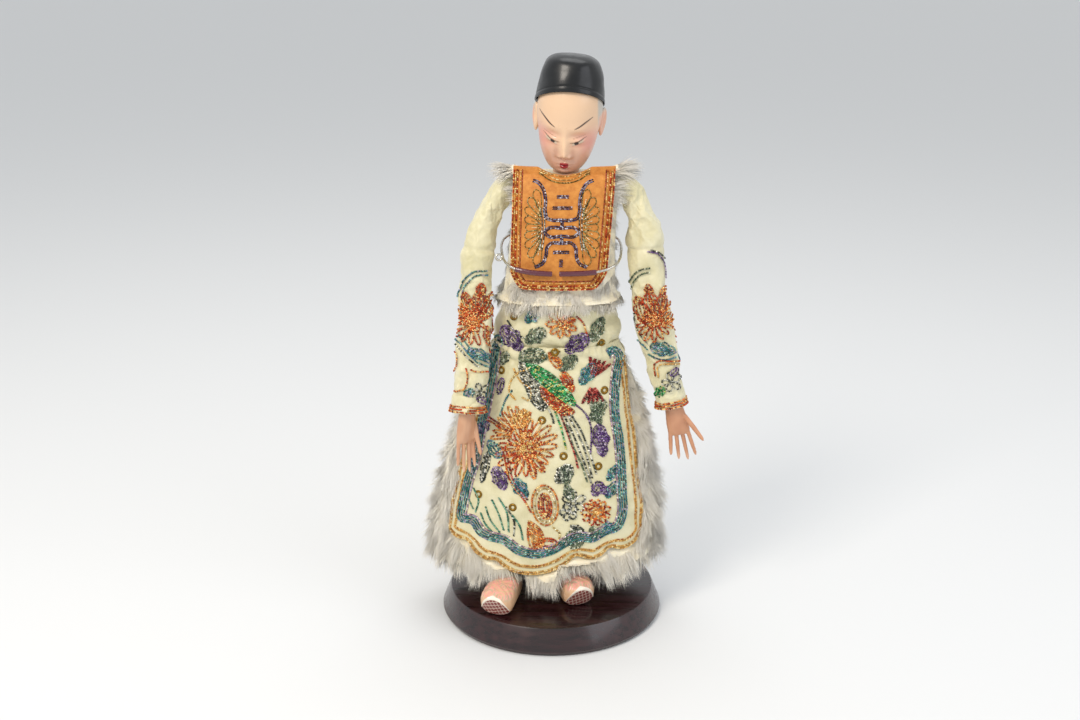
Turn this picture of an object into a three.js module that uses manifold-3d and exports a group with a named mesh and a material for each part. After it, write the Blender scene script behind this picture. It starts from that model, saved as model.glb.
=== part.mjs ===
// An opera doll in a fur-lined, embroidered silk robe, held upright by a sprung wire on a turned wooden stand.
// Millimetres, +Z up. The doll faces -Y, and its right hand is on the -X side.
// The origin is the centre of the stand's underside.
import * as THREE from "three";
import { mergeVertices } from "three/addons/utils/BufferGeometryUtils.js";
import Module from "manifold-3d";

const wasm = await Module();
wasm.setup();

// Driving dimensions. The figure's own forms are written for a doll DRAWN_HEIGHT tall and scaled from it.
const FIGURE_HEIGHT = 273; // from the sole of a shoe to the crown of the cap
const BASE_RADIUS = 57.5; // the stand's disc at its foot
const BASE_TOP_RADIUS = 53; // the stand's disc at its top edge
const BASE_HEIGHT = 13.4;
const BASE_FOOT_ROUND = 2.2; // rounding at the foot of the disc's edge
const BASE_ARRIS = 0.6; // small chamfer round the top edge
const ROD_DIAMETER = 4;
const ROD_BEHIND = 36.5; // the rod's centre behind the disc's centre
const ROD_SOCKET_DEPTH = 9; // how far the rod goes into the disc
const COLLAR_DIAMETER = 8;
const COLLAR_LENGTH = 9;
const WIRE_DIAMETER = 1.5;
const WIRE_KNOT_RADIUS = 1.4; // where the wire's two halves meet behind the figure
const WIRE_EYE_RADIUS = 1.5; // the small eye bent in the wire beside the right arm
const GRIP_DIAMETER = 2.8; // plastic sleeves on the wire's two ends
const GRIP_LENGTH = 18;
const GRIP_SPACE = 3.2; // between the two sleeves, at the front of the chest
const SILK = 1.2; // the lined silk of the skirt panels
const CHEST_CLOTH = 1.4; // the stiff lined cloth of the chest and back panels
const PELT = 4.5; // fur lining with its pile, pressed between cloths
const PELT_SWELL = 3.2; // how far the free pile stands out past the cloth
const VEST_PELT = 3.2;
const BRAID_DIAMETER = 1.9; // the metal-thread braid round the skirt panel
const CHEST_BRAID_DIAMETER = 1.7;
const GAP = 0.3; // between pieces that touch
const FINEST = 0.04; // facets flatter than this are merged
const FUR_FINEST = 0.2;
const FUR_SLACK = 0.4; // extra room between the pressed fur and its cloth

const DRAWN_HEIGHT = 273;
const unit = FIGURE_HEIGHT / DRAWN_HEIGHT;
const SOLE_HEIGHT = BASE_HEIGHT + GAP; // where the figure's own heights start
const DEG = Math.PI / 180;

// The figure stands a little askew: its middle moves towards its left hand as it rises.
const LEAN_START = -5.4;
const LEAN_SHARE = 0.0563;
const middle = (z) => LEAN_START + LEAN_SHARE * z;

// A point of the figure, from its drawn coordinates: z is above the soles.
const at = (x, y, z) => new THREE.Vector3(x * unit, y * unit, SOLE_HEIGHT + z * unit);

// A smooth value between the rows of a table whose first column is the height.
function level(rows, z, column) {
  let i = 0;
  while (i < rows.length - 2 && z > rows[i + 1][0]) i++;
  const t = THREE.MathUtils.clamp((z - rows[i][0]) / (rows[i + 1][0] - rows[i][0]), 0, 1);
  const value = (k) => rows[THREE.MathUtils.clamp(k, 0, rows.length - 1)][column];
  const [p0, p1, p2, p3] = [value(i - 1), value(i), value(i + 1), value(i + 2)];
  const slopeIn = (p2 - p0) / 2;
  const slopeOut = (p3 - p1) / 2;
  const t2 = t * t;
  const t3 = t2 * t;
  const between = (2 * t3 - 3 * t2 + 1) * p1 + (3 * t2 - 2 * t3) * p2;
  return between + (t3 - 2 * t2 + t) * slopeIn + (t3 - t2) * slopeOut;
}

// Geometry from a list of points and triangles, turned so that its faces point out.
function geometryOf(points, triangles) {
  let volume = 0;
  const cross = new THREE.Vector3();
  for (const [a, b, c] of triangles) volume += points[a].dot(cross.crossVectors(points[b], points[c]));
  const facing = volume < 0 ? triangles.map(([a, b, c]) => [a, c, b]) : triangles;
  const geometry = new THREE.BufferGeometry().setFromPoints(points);
  geometry.setIndex(facing.flat());
  return geometry;
}

// A closed skin over a row of rings with the same number of points each.
function loft(rings) {
  const count = rings[0].length;
  const points = rings.flat();
  const triangles = [];
  for (let r = 0; r < rings.length - 1; r++) {
    for (let k = 0; k < count; k++) {
      const a = r * count + k;
      const b = r * count + ((k + 1) % count);
      triangles.push([a, b, b + count], [a, b + count, a + count]);
    }
  }
  for (const [ring, first] of [[rings[0], 0], [rings.at(-1), (rings.length - 1) * count]]) {
    const centre = ring.reduce((sum, p) => sum.add(p), new THREE.Vector3()).divideScalar(count);
    const hub = points.push(centre) - 1;
    for (let k = 0; k < count; k++) {
      const a = first + k;
      const b = first + ((k + 1) % count);
      triangles.push(first === 0 ? [b, a, hub] : [a, b, hub]);
    }
  }
  return geometryOf(points, triangles);
}

// A closed sheet between two surfaces that are each given as point(u, v), with u and v from 0 to 1.
function sheet(front, back, across, along) {
  const points = [];
  for (const side of [front, back]) {
    for (let j = 0; j <= along; j++) {
      for (let i = 0; i <= across; i++) points.push(side(i / across, j / along));
    }
  }
  const index = (side, i, j) => (side * (along + 1) + j) * (across + 1) + i;
  const triangles = [];
  const quad = (a, b, c, d) => triangles.push([a, b, c], [a, c, d]);
  for (let j = 0; j < along; j++) {
    for (let i = 0; i < across; i++) {
      quad(index(0, i, j), index(0, i + 1, j), index(0, i + 1, j + 1), index(0, i, j + 1));
      quad(index(1, i, j), index(1, i, j + 1), index(1, i + 1, j + 1), index(1, i + 1, j));
    }
    quad(index(0, 0, j), index(0, 0, j + 1), index(1, 0, j + 1), index(1, 0, j));
    quad(index(0, across, j), index(1, across, j), index(1, across, j + 1), index(0, across, j + 1));
  }
  for (let i = 0; i < across; i++) {
    quad(index(0, i, 0), index(1, i, 0), index(1, i + 1, 0), index(0, i + 1, 0));
    quad(index(0, i, along), index(0, i + 1, along), index(1, i + 1, along), index(1, i, along));
  }
  return geometryOf(points, triangles);
}

// A ring of points round a centre, in the plane of two unit directions.
function ringAt(centre, sideways, upward, halfWidth, halfHeight, count, turn = 0) {
  return Array.from({ length: count }, (_, k) => {
    const angle = (k / count) * 2 * Math.PI + turn;
    return centre
      .clone()
      .addScaledVector(sideways, halfWidth * Math.cos(angle))
      .addScaledVector(upward, halfHeight * Math.sin(angle));
  });
}

// A tube of round section along a curve, closed at both ends.
function tube(points, diameter, sides, steps = points.length - 1) {
  const curve = new THREE.CatmullRomCurve3(points, false, "centripetal");
  const frames = curve.computeFrenetFrames(steps, false);
  const rings = [];
  for (let i = 0; i <= steps; i++) {
    const centre = curve.getPointAt(i / steps);
    rings.push(ringAt(centre, frames.normals[i], frames.binormals[i], diameter / 2, diameter / 2, sides));
  }
  return loft(rings);
}

function solidOf(geometry) {
  const bare = geometry.index ? geometry.clone() : geometry;
  bare.deleteAttribute("normal");
  bare.deleteAttribute("uv");
  const merged = mergeVertices(bare, 1e-4);
  return new wasm.Manifold(
    new wasm.Mesh({
      numProp: 3,
      vertProperties: new Float32Array(merged.attributes.position.array),
      triVerts: new Uint32Array(merged.index.array),
    }),
  );
}

function geometryOfSolid(solid) {
  const mesh = solid.getMesh();
  const geometry = new THREE.BufferGeometry();
  geometry.setAttribute("position", new THREE.BufferAttribute(new Float32Array(mesh.vertProperties), 3));
  geometry.setIndex(Array.from(mesh.triVerts));
  return geometry;
}

// One geometry with others cut away from it, keeping its largest body.
function cut(geometry, ...tools) {
  return cutTo(FINEST, geometry, ...tools);
}

function cutTo(finest, geometry, ...tools) {
  let solid = solidOf(geometry);
  for (const tool of tools) solid = solid.subtract(solidOf(tool));
  const bodies = solid.decompose().sort((a, b) => b.volume() - a.volume());
  return geometryOfSolid(bodies[0].simplify(finest));
}

function join(...geometries) {
  return geometryOfSolid(geometries.map(solidOf).reduce((sum, next) => sum.add(next)).simplify(FINEST));
}

// The torso: height, half width, half depth. It is a stuffed cloth body under the robe.
const WAIST = 134.9;
const TORSO_TOP = 217.6;
const TORSO = [
  [WAIST, 30.6, 19.6],
  [139, 31.4, 20.2],
  [147, 28.6, 18.8],
  [160, 25.8, 17.4],
  [176, 24.2, 16.4],
  [192, 23.6, 15.4],
  [204, 23.4, 14.2],
  [211, 22.6, 12.4],
  [215.4, 20.4, 9.6],
  [TORSO_TOP, 16, 5.6],
];
const TORSO_SQUARENESS = 2.5; // 2 is an ellipse, more is nearer to a box

// A point on the torso's skin, moved out by a real distance.
// angle is 0 at the front and grows to the doll's left.
function torsoPoint(angle, z, out = 0) {
  const power = 2 / TORSO_SQUARENESS;
  const across = Math.sin(angle);
  const forward = Math.cos(angle);
  const halfWidth = level(TORSO, z, 1) + out / unit;
  const halfDepth = level(TORSO, z, 2) + out / unit;
  return at(
    middle(z) + halfWidth * Math.sign(across) * Math.abs(across) ** power,
    -halfDepth * Math.sign(forward) * Math.abs(forward) ** power,
    z,
  );
}

function torsoRing(z, out, count) {
  return Array.from({ length: count }, (_, k) => torsoPoint((k / count) * 2 * Math.PI, z, out));
}

function torsoSkin(out = 0, count = 22) {
  const heights = TORSO.map(([z]) => z);
  const rings = heights.map((z, i) => {
    const end = i === 0 ? -out / unit : i === heights.length - 1 ? out / unit : 0;
    const ring = torsoRing(z, out, count);
    ring.forEach((p) => p.setZ(p.z + end * unit));
    return ring;
  });
  return loft(rings);
}

// The skirt flares from the waist: height, half width, half depth of the silk's outside.
const SKIRT_TOP = WAIST - GAP / unit;
const SKIRT = [
  [14, 57.5, 30.5],
  [27, 57, 30],
  [50, 54.8, 28.4],
  [66, 51.6, 27],
  [82, 47.6, 25.4],
  [105, 41.4, 23.4],
  [120, 37, 21.8],
  [SKIRT_TOP, 32.6, 20.6],
];

function skirtPoint(angle, z, out = 0) {
  return at(
    middle(z) + (level(SKIRT, z, 1) + out / unit) * Math.sin(angle),
    -(level(SKIRT, z, 2) + out / unit) * Math.cos(angle),
    z,
  );
}

// The panels' side edges: height, and angle each side of the middle. The slits close at the waist.
const PANEL_SIDE = [
  [28, 63],
  [50, 63.5],
  [72, 64.5],
  [98, 68.5],
  [122, 77],
  [SKIRT_TOP, 80],
];
const sideAngle = (z) => level(PANEL_SIDE, z, 1) * DEG;

// The front panel's lower edge is scalloped, with a deep middle lobe: angle, height.
const FRONT_HEM = [
  [-65, 40], [-63, 35.6], [-57, 32.8], [-49.6, 31.8], [-43.6, 30.6], [-38, 26.1], [-32.3, 23.7], [-27, 23.2],
  [-21.9, 20.9], [-15.4, 18], [-9.2, 17], [-3.3, 17.1], [2.6, 18.3], [7, 20.3], [11.4, 22.5], [14.8, 25.6],
  [19.2, 25.6], [25.5, 24.3], [30.6, 25.6], [34.4, 28.4], [39.8, 27.9], [47.3, 27.4], [54.8, 29.2], [61, 32.8],
  [64, 38],
].map(([angle, height]) => [angle * DEG, height]);
const frontHem = (angle) => level(FRONT_HEM, angle, 1);

// The back panel is plainer, with one shallow curve.
const BACK_HEM = 34;
const backHem = (angle) => BACK_HEM - 8 * Math.cos(angle) ** 2;

// A sheet over part of the skirt, between two depths of out, hanging from the waist to a hem.
function skirtSheet({ facing, side, hem, outer, inner, across, along, margin = 0 }) {
  const surface = (out) => (u, v) => {
    const share = (u * 2 - 1) * (1 + margin / (unit * 50));
    const start = side(SKIRT[1][0]);
    const low = hem(THREE.MathUtils.clamp(share, -1, 1) * start) - margin / unit;
    const z = THREE.MathUtils.lerp(low, SKIRT_TOP + margin / unit, v);
    const angle = share * side(z);
    const depth = typeof out === "function" ? out(angle, z) : out;
    return skirtPoint(facing ? Math.PI - angle : angle, z, depth);
  };
  return sheet(surface(outer), surface(inner), across, along);
}

const FRONT = { facing: 0, side: sideAngle, hem: frontHem, across: 32, along: 4 };
const BACK = { facing: Math.PI, side: sideAngle, hem: backHem, across: 14, along: 4 };
const skirtFront = () => skirtSheet({ ...FRONT, outer: 0, inner: -SILK });
const skirtBack = () => skirtSheet({ ...BACK, outer: 0, inner: -SILK });
const skirtRoom = (panel) =>
  skirtSheet({ ...panel, outer: 4 * GAP, inner: -SILK - GAP, margin: GAP + FUR_FINEST });

// Fur lining of the front or back: pressed flat behind the silk, standing out where it is free, ragged below.
const FUR_HEM = 10.5; // lowest tufts above the soles, at the middle
const TUFT = 2.4; // how far each tuft hangs below the next
function furSheet(panel, across, along) {
  const half = 90 * DEG - (GAP / 2) / (unit * 50);
  const ragged = (angle) => {
    const column = Math.round(((angle / half + 1) / 2) * across);
    return FUR_HEM + 9 * Math.sin(angle) ** 2 + (column % 2 ? TUFT : 0);
  };
  const free = (angle, z) => {
    const beyond = Math.max(0, Math.abs(angle) - panel.side(z)) * 50;
    const below = Math.max(0, panel.hem(angle) - z);
    const soft = THREE.MathUtils.smoothstep(Math.max(beyond, below), 1, 8);
    const fadeAtWaist = THREE.MathUtils.smoothstep(SKIRT_TOP - z, 0, 14);
    const pressed = SILK + GAP + FUR_SLACK;
    return -pressed + soft * fadeAtWaist * (pressed + PELT_SWELL);
  };
  return skirtSheet({
    facing: panel.facing,
    side: () => half,
    hem: ragged,
    outer: free,
    inner: -SILK - GAP - PELT,
    across,
    along,
  });
}

// A limb in cloth: a row of [x, y, z, half width, half depth] from the shoulder or hip down.
function limb(stations, out, count, extend = 0) {
  const centres = stations.map(([x, y, z]) => at(x, y, z));
  const rings = stations.map(([, , , halfWidth, halfDepth], i) => {
    const ahead = centres[Math.min(i + 1, centres.length - 1)];
    const behind = centres[Math.max(i - 1, 0)];
    const along = ahead.clone().sub(behind).normalize();
    const sideways = new THREE.Vector3(1, 0, 0).addScaledVector(along, -along.x).normalize();
    const depthways = new THREE.Vector3().crossVectors(along, sideways).normalize();
    const shift = i === 0 ? -extend : i === stations.length - 1 ? extend : 0;
    const centre = centres[i].clone().addScaledVector(along, shift);
    return ringAt(centre, sideways, depthways, halfWidth * unit + out, halfDepth * unit + out, count);
  });
  return loft(rings);
}

const SLEEVE_RIGHT = [
  [-17.5, 0, 213, 5, 6],
  [-23, -0.8, 210, 6.2, 7],
  [-28.2, -1.8, 203, 7, 7.8],
  [-32, -3.2, 195, 7.6, 8],
  [-35, -5, 186.5, 8, 7.8],
  [-36.2, -6.6, 178, 8, 7.6],
  [-37, -9.2, 165, 8.6, 7.8],
  [-38, -12.6, 150, 9, 7.8],
  [-38.8, -16, 136, 9.2, 7.6],
  [-40, -19.6, 122, 9.2, 7.4],
  [-41, -22.6, 111, 9.2, 7.4],
  [-41.4, -24.4, 102.4, 9.2, 7.4],
];
const SLEEVE_LEFT = [
  [30, 0, 213, 5, 6],
  [35, -0.6, 210.5, 6.2, 7],
  [39.6, -1.2, 205, 7.2, 7.8],
  [42.6, -2, 196, 8.4, 8.4],
  [44.4, -3, 187, 9, 8.4],
  [45.4, -4, 177, 8.6, 8],
  [46.6, -5, 165, 9.2, 8.2],
  [49, -6.2, 149, 9.8, 8.4],
  [52.4, -7.4, 134, 9.4, 8],
  [55.8, -8.4, 120, 8.6, 7.6],
  [58.6, -9.2, 108, 8.4, 7.6],
  [60, -10, 100.5, 8.2, 7.6],
];
const LEG_RIGHT = [
  [-13, 1, 133, 9.5, 9.5],
  [-14.5, -1, 100, 8.5, 8.5],
  [-16.5, -7, 60, 7.2, 7.2],
  [-19.4, -19, 24, 6, 6],
  [-20.4, -23.6, 11, 5.4, 5.6],
];
const LEG_LEFT = [
  [14, 1, 133, 9.5, 9.5],
  [13.5, 0, 100, 8.5, 8.5],
  [11.5, -3, 60, 7.2, 7.2],
  [8.8, -9.4, 24, 6, 6],
  [7.8, -12.4, 11, 5.4, 5.6],
];

const SLEEVE_SIDES = 12;

// Shoe in its own frame: toe towards -Y, sole at 0, and the front of the sole turned up to face forwards.
// Rows are length along, half width, sole height, top height.
const SHOE_HEEL = 14.8;
const SHOE = [
  [SHOE_HEEL, 3, 2.4, 8],
  [13, 6, 0.6, 13],
  [8, 7.4, 0, 15.6],
  [1, 8.2, 0, 16],
  [-5, 9, 0, 15.6],
  [-9.5, 9.4, 0, 15],
  [-12, 9.2, 0.5, 14.2],
  [-13.6, 8.2, 3.2, 13.4],
  [-15, 6.2, 6.2, 12.4],
  [-16, 3.6, 8.6, 11.4],
  [-16.4, 1.2, 9.6, 10.6],
];
const SHOE_OUTLINE = [
  [-0.86, 0], [-1, 0.12], [-1, 0.42], [-0.82, 0.78], [-0.42, 0.97], [0, 1],
  [0.42, 0.97], [0.82, 0.78], [1, 0.42], [1, 0.12], [0.86, 0], [0, 0],
];

function shoe(place, out = 0) {
  const rings = SHOE.map(([y, halfWidth, low, high], i) => {
    const end = i === 0 ? out : i === SHOE.length - 1 ? -out : 0;
    return SHOE_OUTLINE.map(([across, up]) => {
      const x = across * (halfWidth * unit + out);
      const z = THREE.MathUtils.lerp(low * unit - out, high * unit + out, up);
      return new THREE.Vector3(x, y * unit + end, z);
    });
  });
  const turn = new THREE.Matrix4().makeRotationZ(place.toeOut);
  const spot = at(place.x, place.y, 0);
  return loft(rings).applyMatrix4(new THREE.Matrix4().makeTranslation(spot.x, spot.y, spot.z).multiply(turn));
}
const SHOE_RIGHT = { x: -22.6, y: -29.5, toeOut: -28 * DEG };
const SHOE_LEFT = { x: 9.6, y: -17.2, toeOut: 22 * DEG };

// Hand in its own frame: the wrist is at the origin, the fingers point to -Z and the back of the hand faces -Y.
// Each finger: x at the knuckle, length, sideways lean and forward curl, in degrees.
const PALM = [
  [8, 4.3, 3.6],
  [2, 4.4, 3.4],
  [-3, 5, 3.2],
  [-8, 5.6, 2.8],
  [-12.5, 5.7, 2.3],
  [-14.5, 4.8, 1.8],
];
const KNUCKLES = -12.6;
const FINGER_WIDTH = 2.3;
const THUMB_WIDTH = 2.7;
const THUMB_ROOT = -4.5;

function finger(start, length, lean, curl, width = FINGER_WIDTH) {
  const direction = new THREE.Vector3(Math.sin(lean * DEG), -Math.sin(curl * DEG), -1).normalize();
  const sizes = [[0, 1.05], [0.5, 0.98], [0.9, 0.78], [1, 0.3]];
  const sideways = new THREE.Vector3(0, 1, 0).cross(direction).normalize();
  const upward = new THREE.Vector3().crossVectors(direction, sideways);
  const rings = sizes.map(([share, size]) => {
    const bend = Math.sin(curl * DEG) * share * share * length * 0.35;
    const centre = start.clone().addScaledVector(direction, length * share).add(new THREE.Vector3(0, -bend, 0));
    return ringAt(centre, sideways, upward, (width * size) / 2, (width * size) / 2, 6);
  });
  return loft(rings);
}

const ACROSS = new THREE.Vector3(1, 0, 0);
const DEPTH = new THREE.Vector3(0, 1, 0);
const levelRing = (z, halfWidth, halfDepth, count) =>
  ringAt(new THREE.Vector3(0, 0, z), ACROSS, DEPTH, halfWidth, halfDepth, count);

function handFrame({ wrist, tilt, turn }) {
  return new THREE.Matrix4()
    .makeTranslation(...at(...wrist).toArray())
    .multiply(new THREE.Matrix4().makeRotationY(tilt * DEG))
    .multiply(new THREE.Matrix4().makeRotationZ(turn * DEG));
}

function hand(place) {
  const palm = loft(PALM.map(([z, halfWidth, halfDepth]) => levelRing(z, halfWidth, halfDepth, 12)));
  const digits = place.fingers.map(([x, length, lean, curl]) =>
    finger(new THREE.Vector3(x, 0, KNUCKLES), length, lean, curl));
  const { x, y, length, lean, curl } = place.thumb;
  const thumb = finger(new THREE.Vector3(x, y, THUMB_ROOT), length, lean, curl, THUMB_WIDTH);
  return join(palm, ...digits, thumb).applyMatrix4(handFrame(place).scale(new THREE.Vector3(unit, unit, unit)));
}
const HAND_RIGHT = {
  wrist: [-42, -24, 101.6],
  tilt: 3,
  turn: 38,
  fingers: [[-4.4, 13.5, -3, 4], [-1.6, 17, -1.5, 6], [1.3, 17.6, 0, 6], [4.1, 15, -2, 10]],
  thumb: { x: 4.4, y: -0.4, length: 17, lean: 5, curl: 12 },
};
const HAND_LEFT = {
  wrist: [61, -11, 100.5],
  tilt: -13,
  turn: -8,
  fingers: [[-4.4, 12, -9, 8], [-1.5, 15, -5, 4], [1.4, 16.2, 1, 2], [4.2, 14, 8, 6]],
  thumb: { x: 4.2, y: -1, length: 15.5, lean: 38, curl: 22 },
};

// The wrist's room inside a cuff.
function cuffRoom(place) {
  const ring = (z) => levelRing(z * unit, 5.4 * unit + GAP, 4.4 * unit + GAP, 12);
  return loft([9, 2, -2, -16].map(ring)).applyMatrix4(handFrame(place));
}

// Head in its own frame: height, half width, depth to the face and depth to the back.
const SKULL = [
  [-22.6, 3.6, 11.2, -5.5],
  [-21, 7.6, 14.2, 0],
  [-17, 10.8, 15.6, 6],
  [-12, 12.9, 16, 11],
  [-5, 14.4, 15.8, 15.6],
  [3, 15.6, 16.4, 18],
  [11, 15, 15.4, 18],
  [16.5, 13.4, 13.2, 16.4],
  [21.5, 10.6, 9.6, 12.6],
  [25, 7, 6.6, 7.8],
  [26.2, 1.4, 1.2, 1.4],
];
const HEAD_PLACE = { x: 7.7, y: -2.6, z: 243.3, nod: 17 * DEG, roll: 4.6 * DEG, turn: -3 * DEG };
const HEAD_COLUMNS = 28;
const NECK_RADIUS = 6.4;
const EAR_HEIGHT = -2.5; // the ear's middle in the head's frame

// Modelled features of the face: how far the skin moves forward at x and z.
function faceRelief(x, z) {
  const bump = (cx, cz, wide, tall, amount) => {
    return amount * Math.exp(-(((x - cx) / wide) ** 2) - ((z - cz) / tall) ** 2);
  };
  const bridge = bump(0, -5, 1.7, 4.6, 1.7);
  const tip = bump(0, -10.2, 2, 2.1, 3.2);
  const nostrils = bump(-2.3, -11, 1.2, 1.3, 1) + bump(2.3, -11, 1.2, 1.3, 1);
  const sockets = bump(-6, -3.6, 3.6, 2.2, -1.2) + bump(6, -3.6, 3.6, 2.2, -1.2);
  const lids = bump(-6, -3.4, 2.9, 1.4, 1) + bump(6, -3.4, 2.9, 1.4, 1);
  const lips = bump(0, -15.8, 2.6, 1.5, 1) + bump(0, -17.4, 2, 1, 0.7);
  const chin = bump(0, -20.6, 3.4, 2, 0.9);
  return bridge + tip + nostrils + sockets + lids + lips + chin;
}

function headFrame() {
  const spot = at(HEAD_PLACE.x, HEAD_PLACE.y, HEAD_PLACE.z);
  return new THREE.Matrix4()
    .makeTranslation(spot.x, spot.y, spot.z)
    .multiply(new THREE.Matrix4().makeRotationY(HEAD_PLACE.roll))
    .multiply(new THREE.Matrix4().makeRotationZ(HEAD_PLACE.turn))
    .multiply(new THREE.Matrix4().makeRotationX(HEAD_PLACE.nod))
    .multiply(new THREE.Matrix4().makeScale(unit, unit, unit));
}

function skullRing(z, out, columns) {
  return columns.map((angle) => {
    const across = Math.sin(angle);
    const forward = Math.cos(angle);
    const x = (level(SKULL, z, 1) + out) * across;
    const reach = forward > 0 ? level(SKULL, z, 2) : level(SKULL, z, 3);
    const relief = forward > 0 && out === 0 ? faceRelief(x, z) * forward : 0;
    return new THREE.Vector3(x, -(reach + out) * forward - relief, z);
  });
}

// More columns on the face than round the back.
function headColumns(count) {
  return Array.from({ length: count }, (_, k) => {
    const turn = (k / count) * 2 * Math.PI;
    return turn - 0.42 * Math.sin(turn);
  });
}

// Rows are closest at the lips, nose and eyes.
const FACE_HEIGHTS = [-22.6, -21, -19, -17.4, -15.8, -13.4, -11.4, -10, -8, -5.4, -3.6, -1.4];
const BROW_HEIGHTS = [1.5, 5.5, 11, 16.5, 21.5, 25, 26.2];
function skull(out = 0) {
  const heights = [...FACE_HEIGHTS, ...BROW_HEIGHTS];
  return loft(heights.map((z) => skullRing(z, out, headColumns(HEAD_COLUMNS))));
}

function ear(side) {
  const shell = new THREE.SphereGeometry(1, 8, 7);
  shell.scale(1.5, 3, 6.2);
  shell.rotateX(-8 * DEG);
  shell.rotateZ(side * -24 * DEG);
  shell.translate(side * 16.3, 1.6, EAR_HEIGHT);
  return shell;
}

const NECK_FOOT = 207;
const NECK_SLOPE = 0.06; // sideways per height
function neckTube(out, low, high) {
  const foot = at(5.8 + NECK_SLOPE * (low - NECK_FOOT), 0.5, low);
  const top = at(5.8 + NECK_SLOPE * (high - NECK_FOOT), 0.5, high);
  const across = new THREE.Vector3(1, 0, 0);
  const deep = new THREE.Vector3(0, 1, 0);
  const radius = NECK_RADIUS * unit + out;
  return loft([foot, top].map((centre) => ringAt(centre, across, deep, radius, radius * 0.95, 14)));
}

// The cap stands upright on the nodding head. Rows are height above its side rim and radius.
const CAP_PLACE = { x: 8.3, y: -3.2, z: 251.4, roll: 4.6 * DEG };
const CAP = [
  [-12, 17.6],
  [0, 17.2],
  [8, 16],
  [14.5, 14.3],
  [17.6, 12.6],
  [19.6, 9.6],
  [20.4, 5],
];
const CAP_DEPTH = 1.14; // front to back over side to side

function cap() {
  const rings = CAP.map(([z, radius]) => {
    return levelRing(z * unit, radius * unit, radius * CAP_DEPTH * unit, 24);
  });
  const spot = at(CAP_PLACE.x, CAP_PLACE.y, CAP_PLACE.z);
  const frame = new THREE.Matrix4()
    .makeTranslation(spot.x, spot.y, spot.z)
    .multiply(new THREE.Matrix4().makeRotationY(CAP_PLACE.roll));
  const outside = loft(rings).applyMatrix4(frame);
  const below = capRim().applyMatrix4(frame);
  return cut(outside, skull(GAP).applyMatrix4(headFrame()), below);
}

// What is cut away under the rim: it runs high over the forehead and low behind.
const RIM_FRONT = 6.1;
const RIM_SIDE = -0.6;
const RIM_BACK = -6;
function capRim() {
  const around = 24;
  const heightAt = (angle) => {
    const forward = -Math.sin(angle);
    return forward > 0
      ? THREE.MathUtils.lerp(RIM_SIDE, RIM_FRONT, forward)
      : THREE.MathUtils.lerp(RIM_SIDE, RIM_BACK, -forward);
  };
  const ring = (radius, top) => Array.from({ length: around }, (_, k) => {
    const angle = (k / around) * 2 * Math.PI;
    const z = top ? heightAt(angle) : -26;
    return new THREE.Vector3(radius * Math.cos(angle) * unit, radius * Math.sin(angle) * unit, z * unit);
  });
  return loft([ring(30, false), ring(30, true), ring(2, true)]);
}

// Chest panel: stiff orange cloth from the shoulders to below the ribs, over the fur vest.
const CHEST = {
  low: 161.6,
  high: 219.2,
  shift: -1.2,
  halfWidth: 22.6,
  flare: 1.2,
  neckHalfWidth: 12,
  neckDrop: 4,
  cornerRound: 7.5,
};
const chestOut = VEST_PELT + 2 * GAP;

function chestSurface(facing, out) {
  return (u, v) => {
    const across = u * 2 - 1;
    const corner = Math.max(0, Math.abs(across) - 0.72) / 0.28;
    const low = CHEST.low + CHEST.cornerRound * corner ** 2;
    const drop = CHEST.neckDrop * Math.max(0, 1 - ((across * CHEST.halfWidth) / CHEST.neckHalfWidth) ** 2);
    const z = THREE.MathUtils.lerp(low, CHEST.high - (facing ? 0.5 : 1) * drop, v);
    const flare = (CHEST.flare * (z - CHEST.low)) / (CHEST.high - CHEST.low);
    const x = across * (CHEST.halfWidth + flare) + CHEST.shift;
    const reach = level(TORSO, z, 2) + out / unit;
    const wide = level(TORSO, Math.min(z, 204), 1) + chestOut / unit + 3;
    const y = reach * (1 - Math.abs(x / wide) ** TORSO_SQUARENESS) ** (1 / TORSO_SQUARENESS);
    return at(middle(z) + x, facing ? y : -y, z);
  };
}

function chestCloth(facing, across, along, margin = 0) {
  const outside = chestSurface(facing, chestOut + CHEST_CLOTH + margin);
  return sheet(outside, chestSurface(facing, chestOut - margin), across, along);
}

// The fur vest shows as a soft edge round the chest panel, with a tuft on each shoulder.
const VEST_LOW = 151;
const SHOULDER_TUFTS = [-18.5, 31];
function furVest() {
  const heights = [VEST_LOW, 155, 162, 176, 192, 204, 211, TORSO_TOP];
  const outer = heights.map((z) => {
    const swell = THREE.MathUtils.smoothstep(164 - z, 0, 9) * 2;
    return torsoRing(z, VEST_PELT - 0.2 + swell, 22);
  });
  const hem = torsoRing(VEST_LOW, GAP * 3, 22);
  hem.forEach((p, k) => p.setZ(p.z + (k % 2 ? 0 : 1.6)));
  outer[0].forEach((p, k) => p.setZ(p.z + (k % 2 ? 0 : 1.6)));
  const wrap = loft([hem, ...outer]);
  const tufts = SHOULDER_TUFTS.map((x) => {
    const ball = new THREE.SphereGeometry(1, 8, 6);
    ball.scale(6.2 * unit, 7.5 * unit, 5.6 * unit);
    return ball.translate(...at(x, -1, 217.5).toArray());
  });
  return cutTo(
    FUR_FINEST,
    join(wrap, ...tufts),
    torsoSkin(GAP),
    limb(SLEEVE_RIGHT, GAP, SLEEVE_SIDES, GAP),
    limb(SLEEVE_LEFT, GAP, SLEEVE_SIDES, GAP),
    chestCloth(0, 12, 8, GAP),
    chestCloth(1, 8, 6, GAP),
    neckTube(GAP * 2, NECK_FOOT - 2, 245),
  );
}

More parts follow.
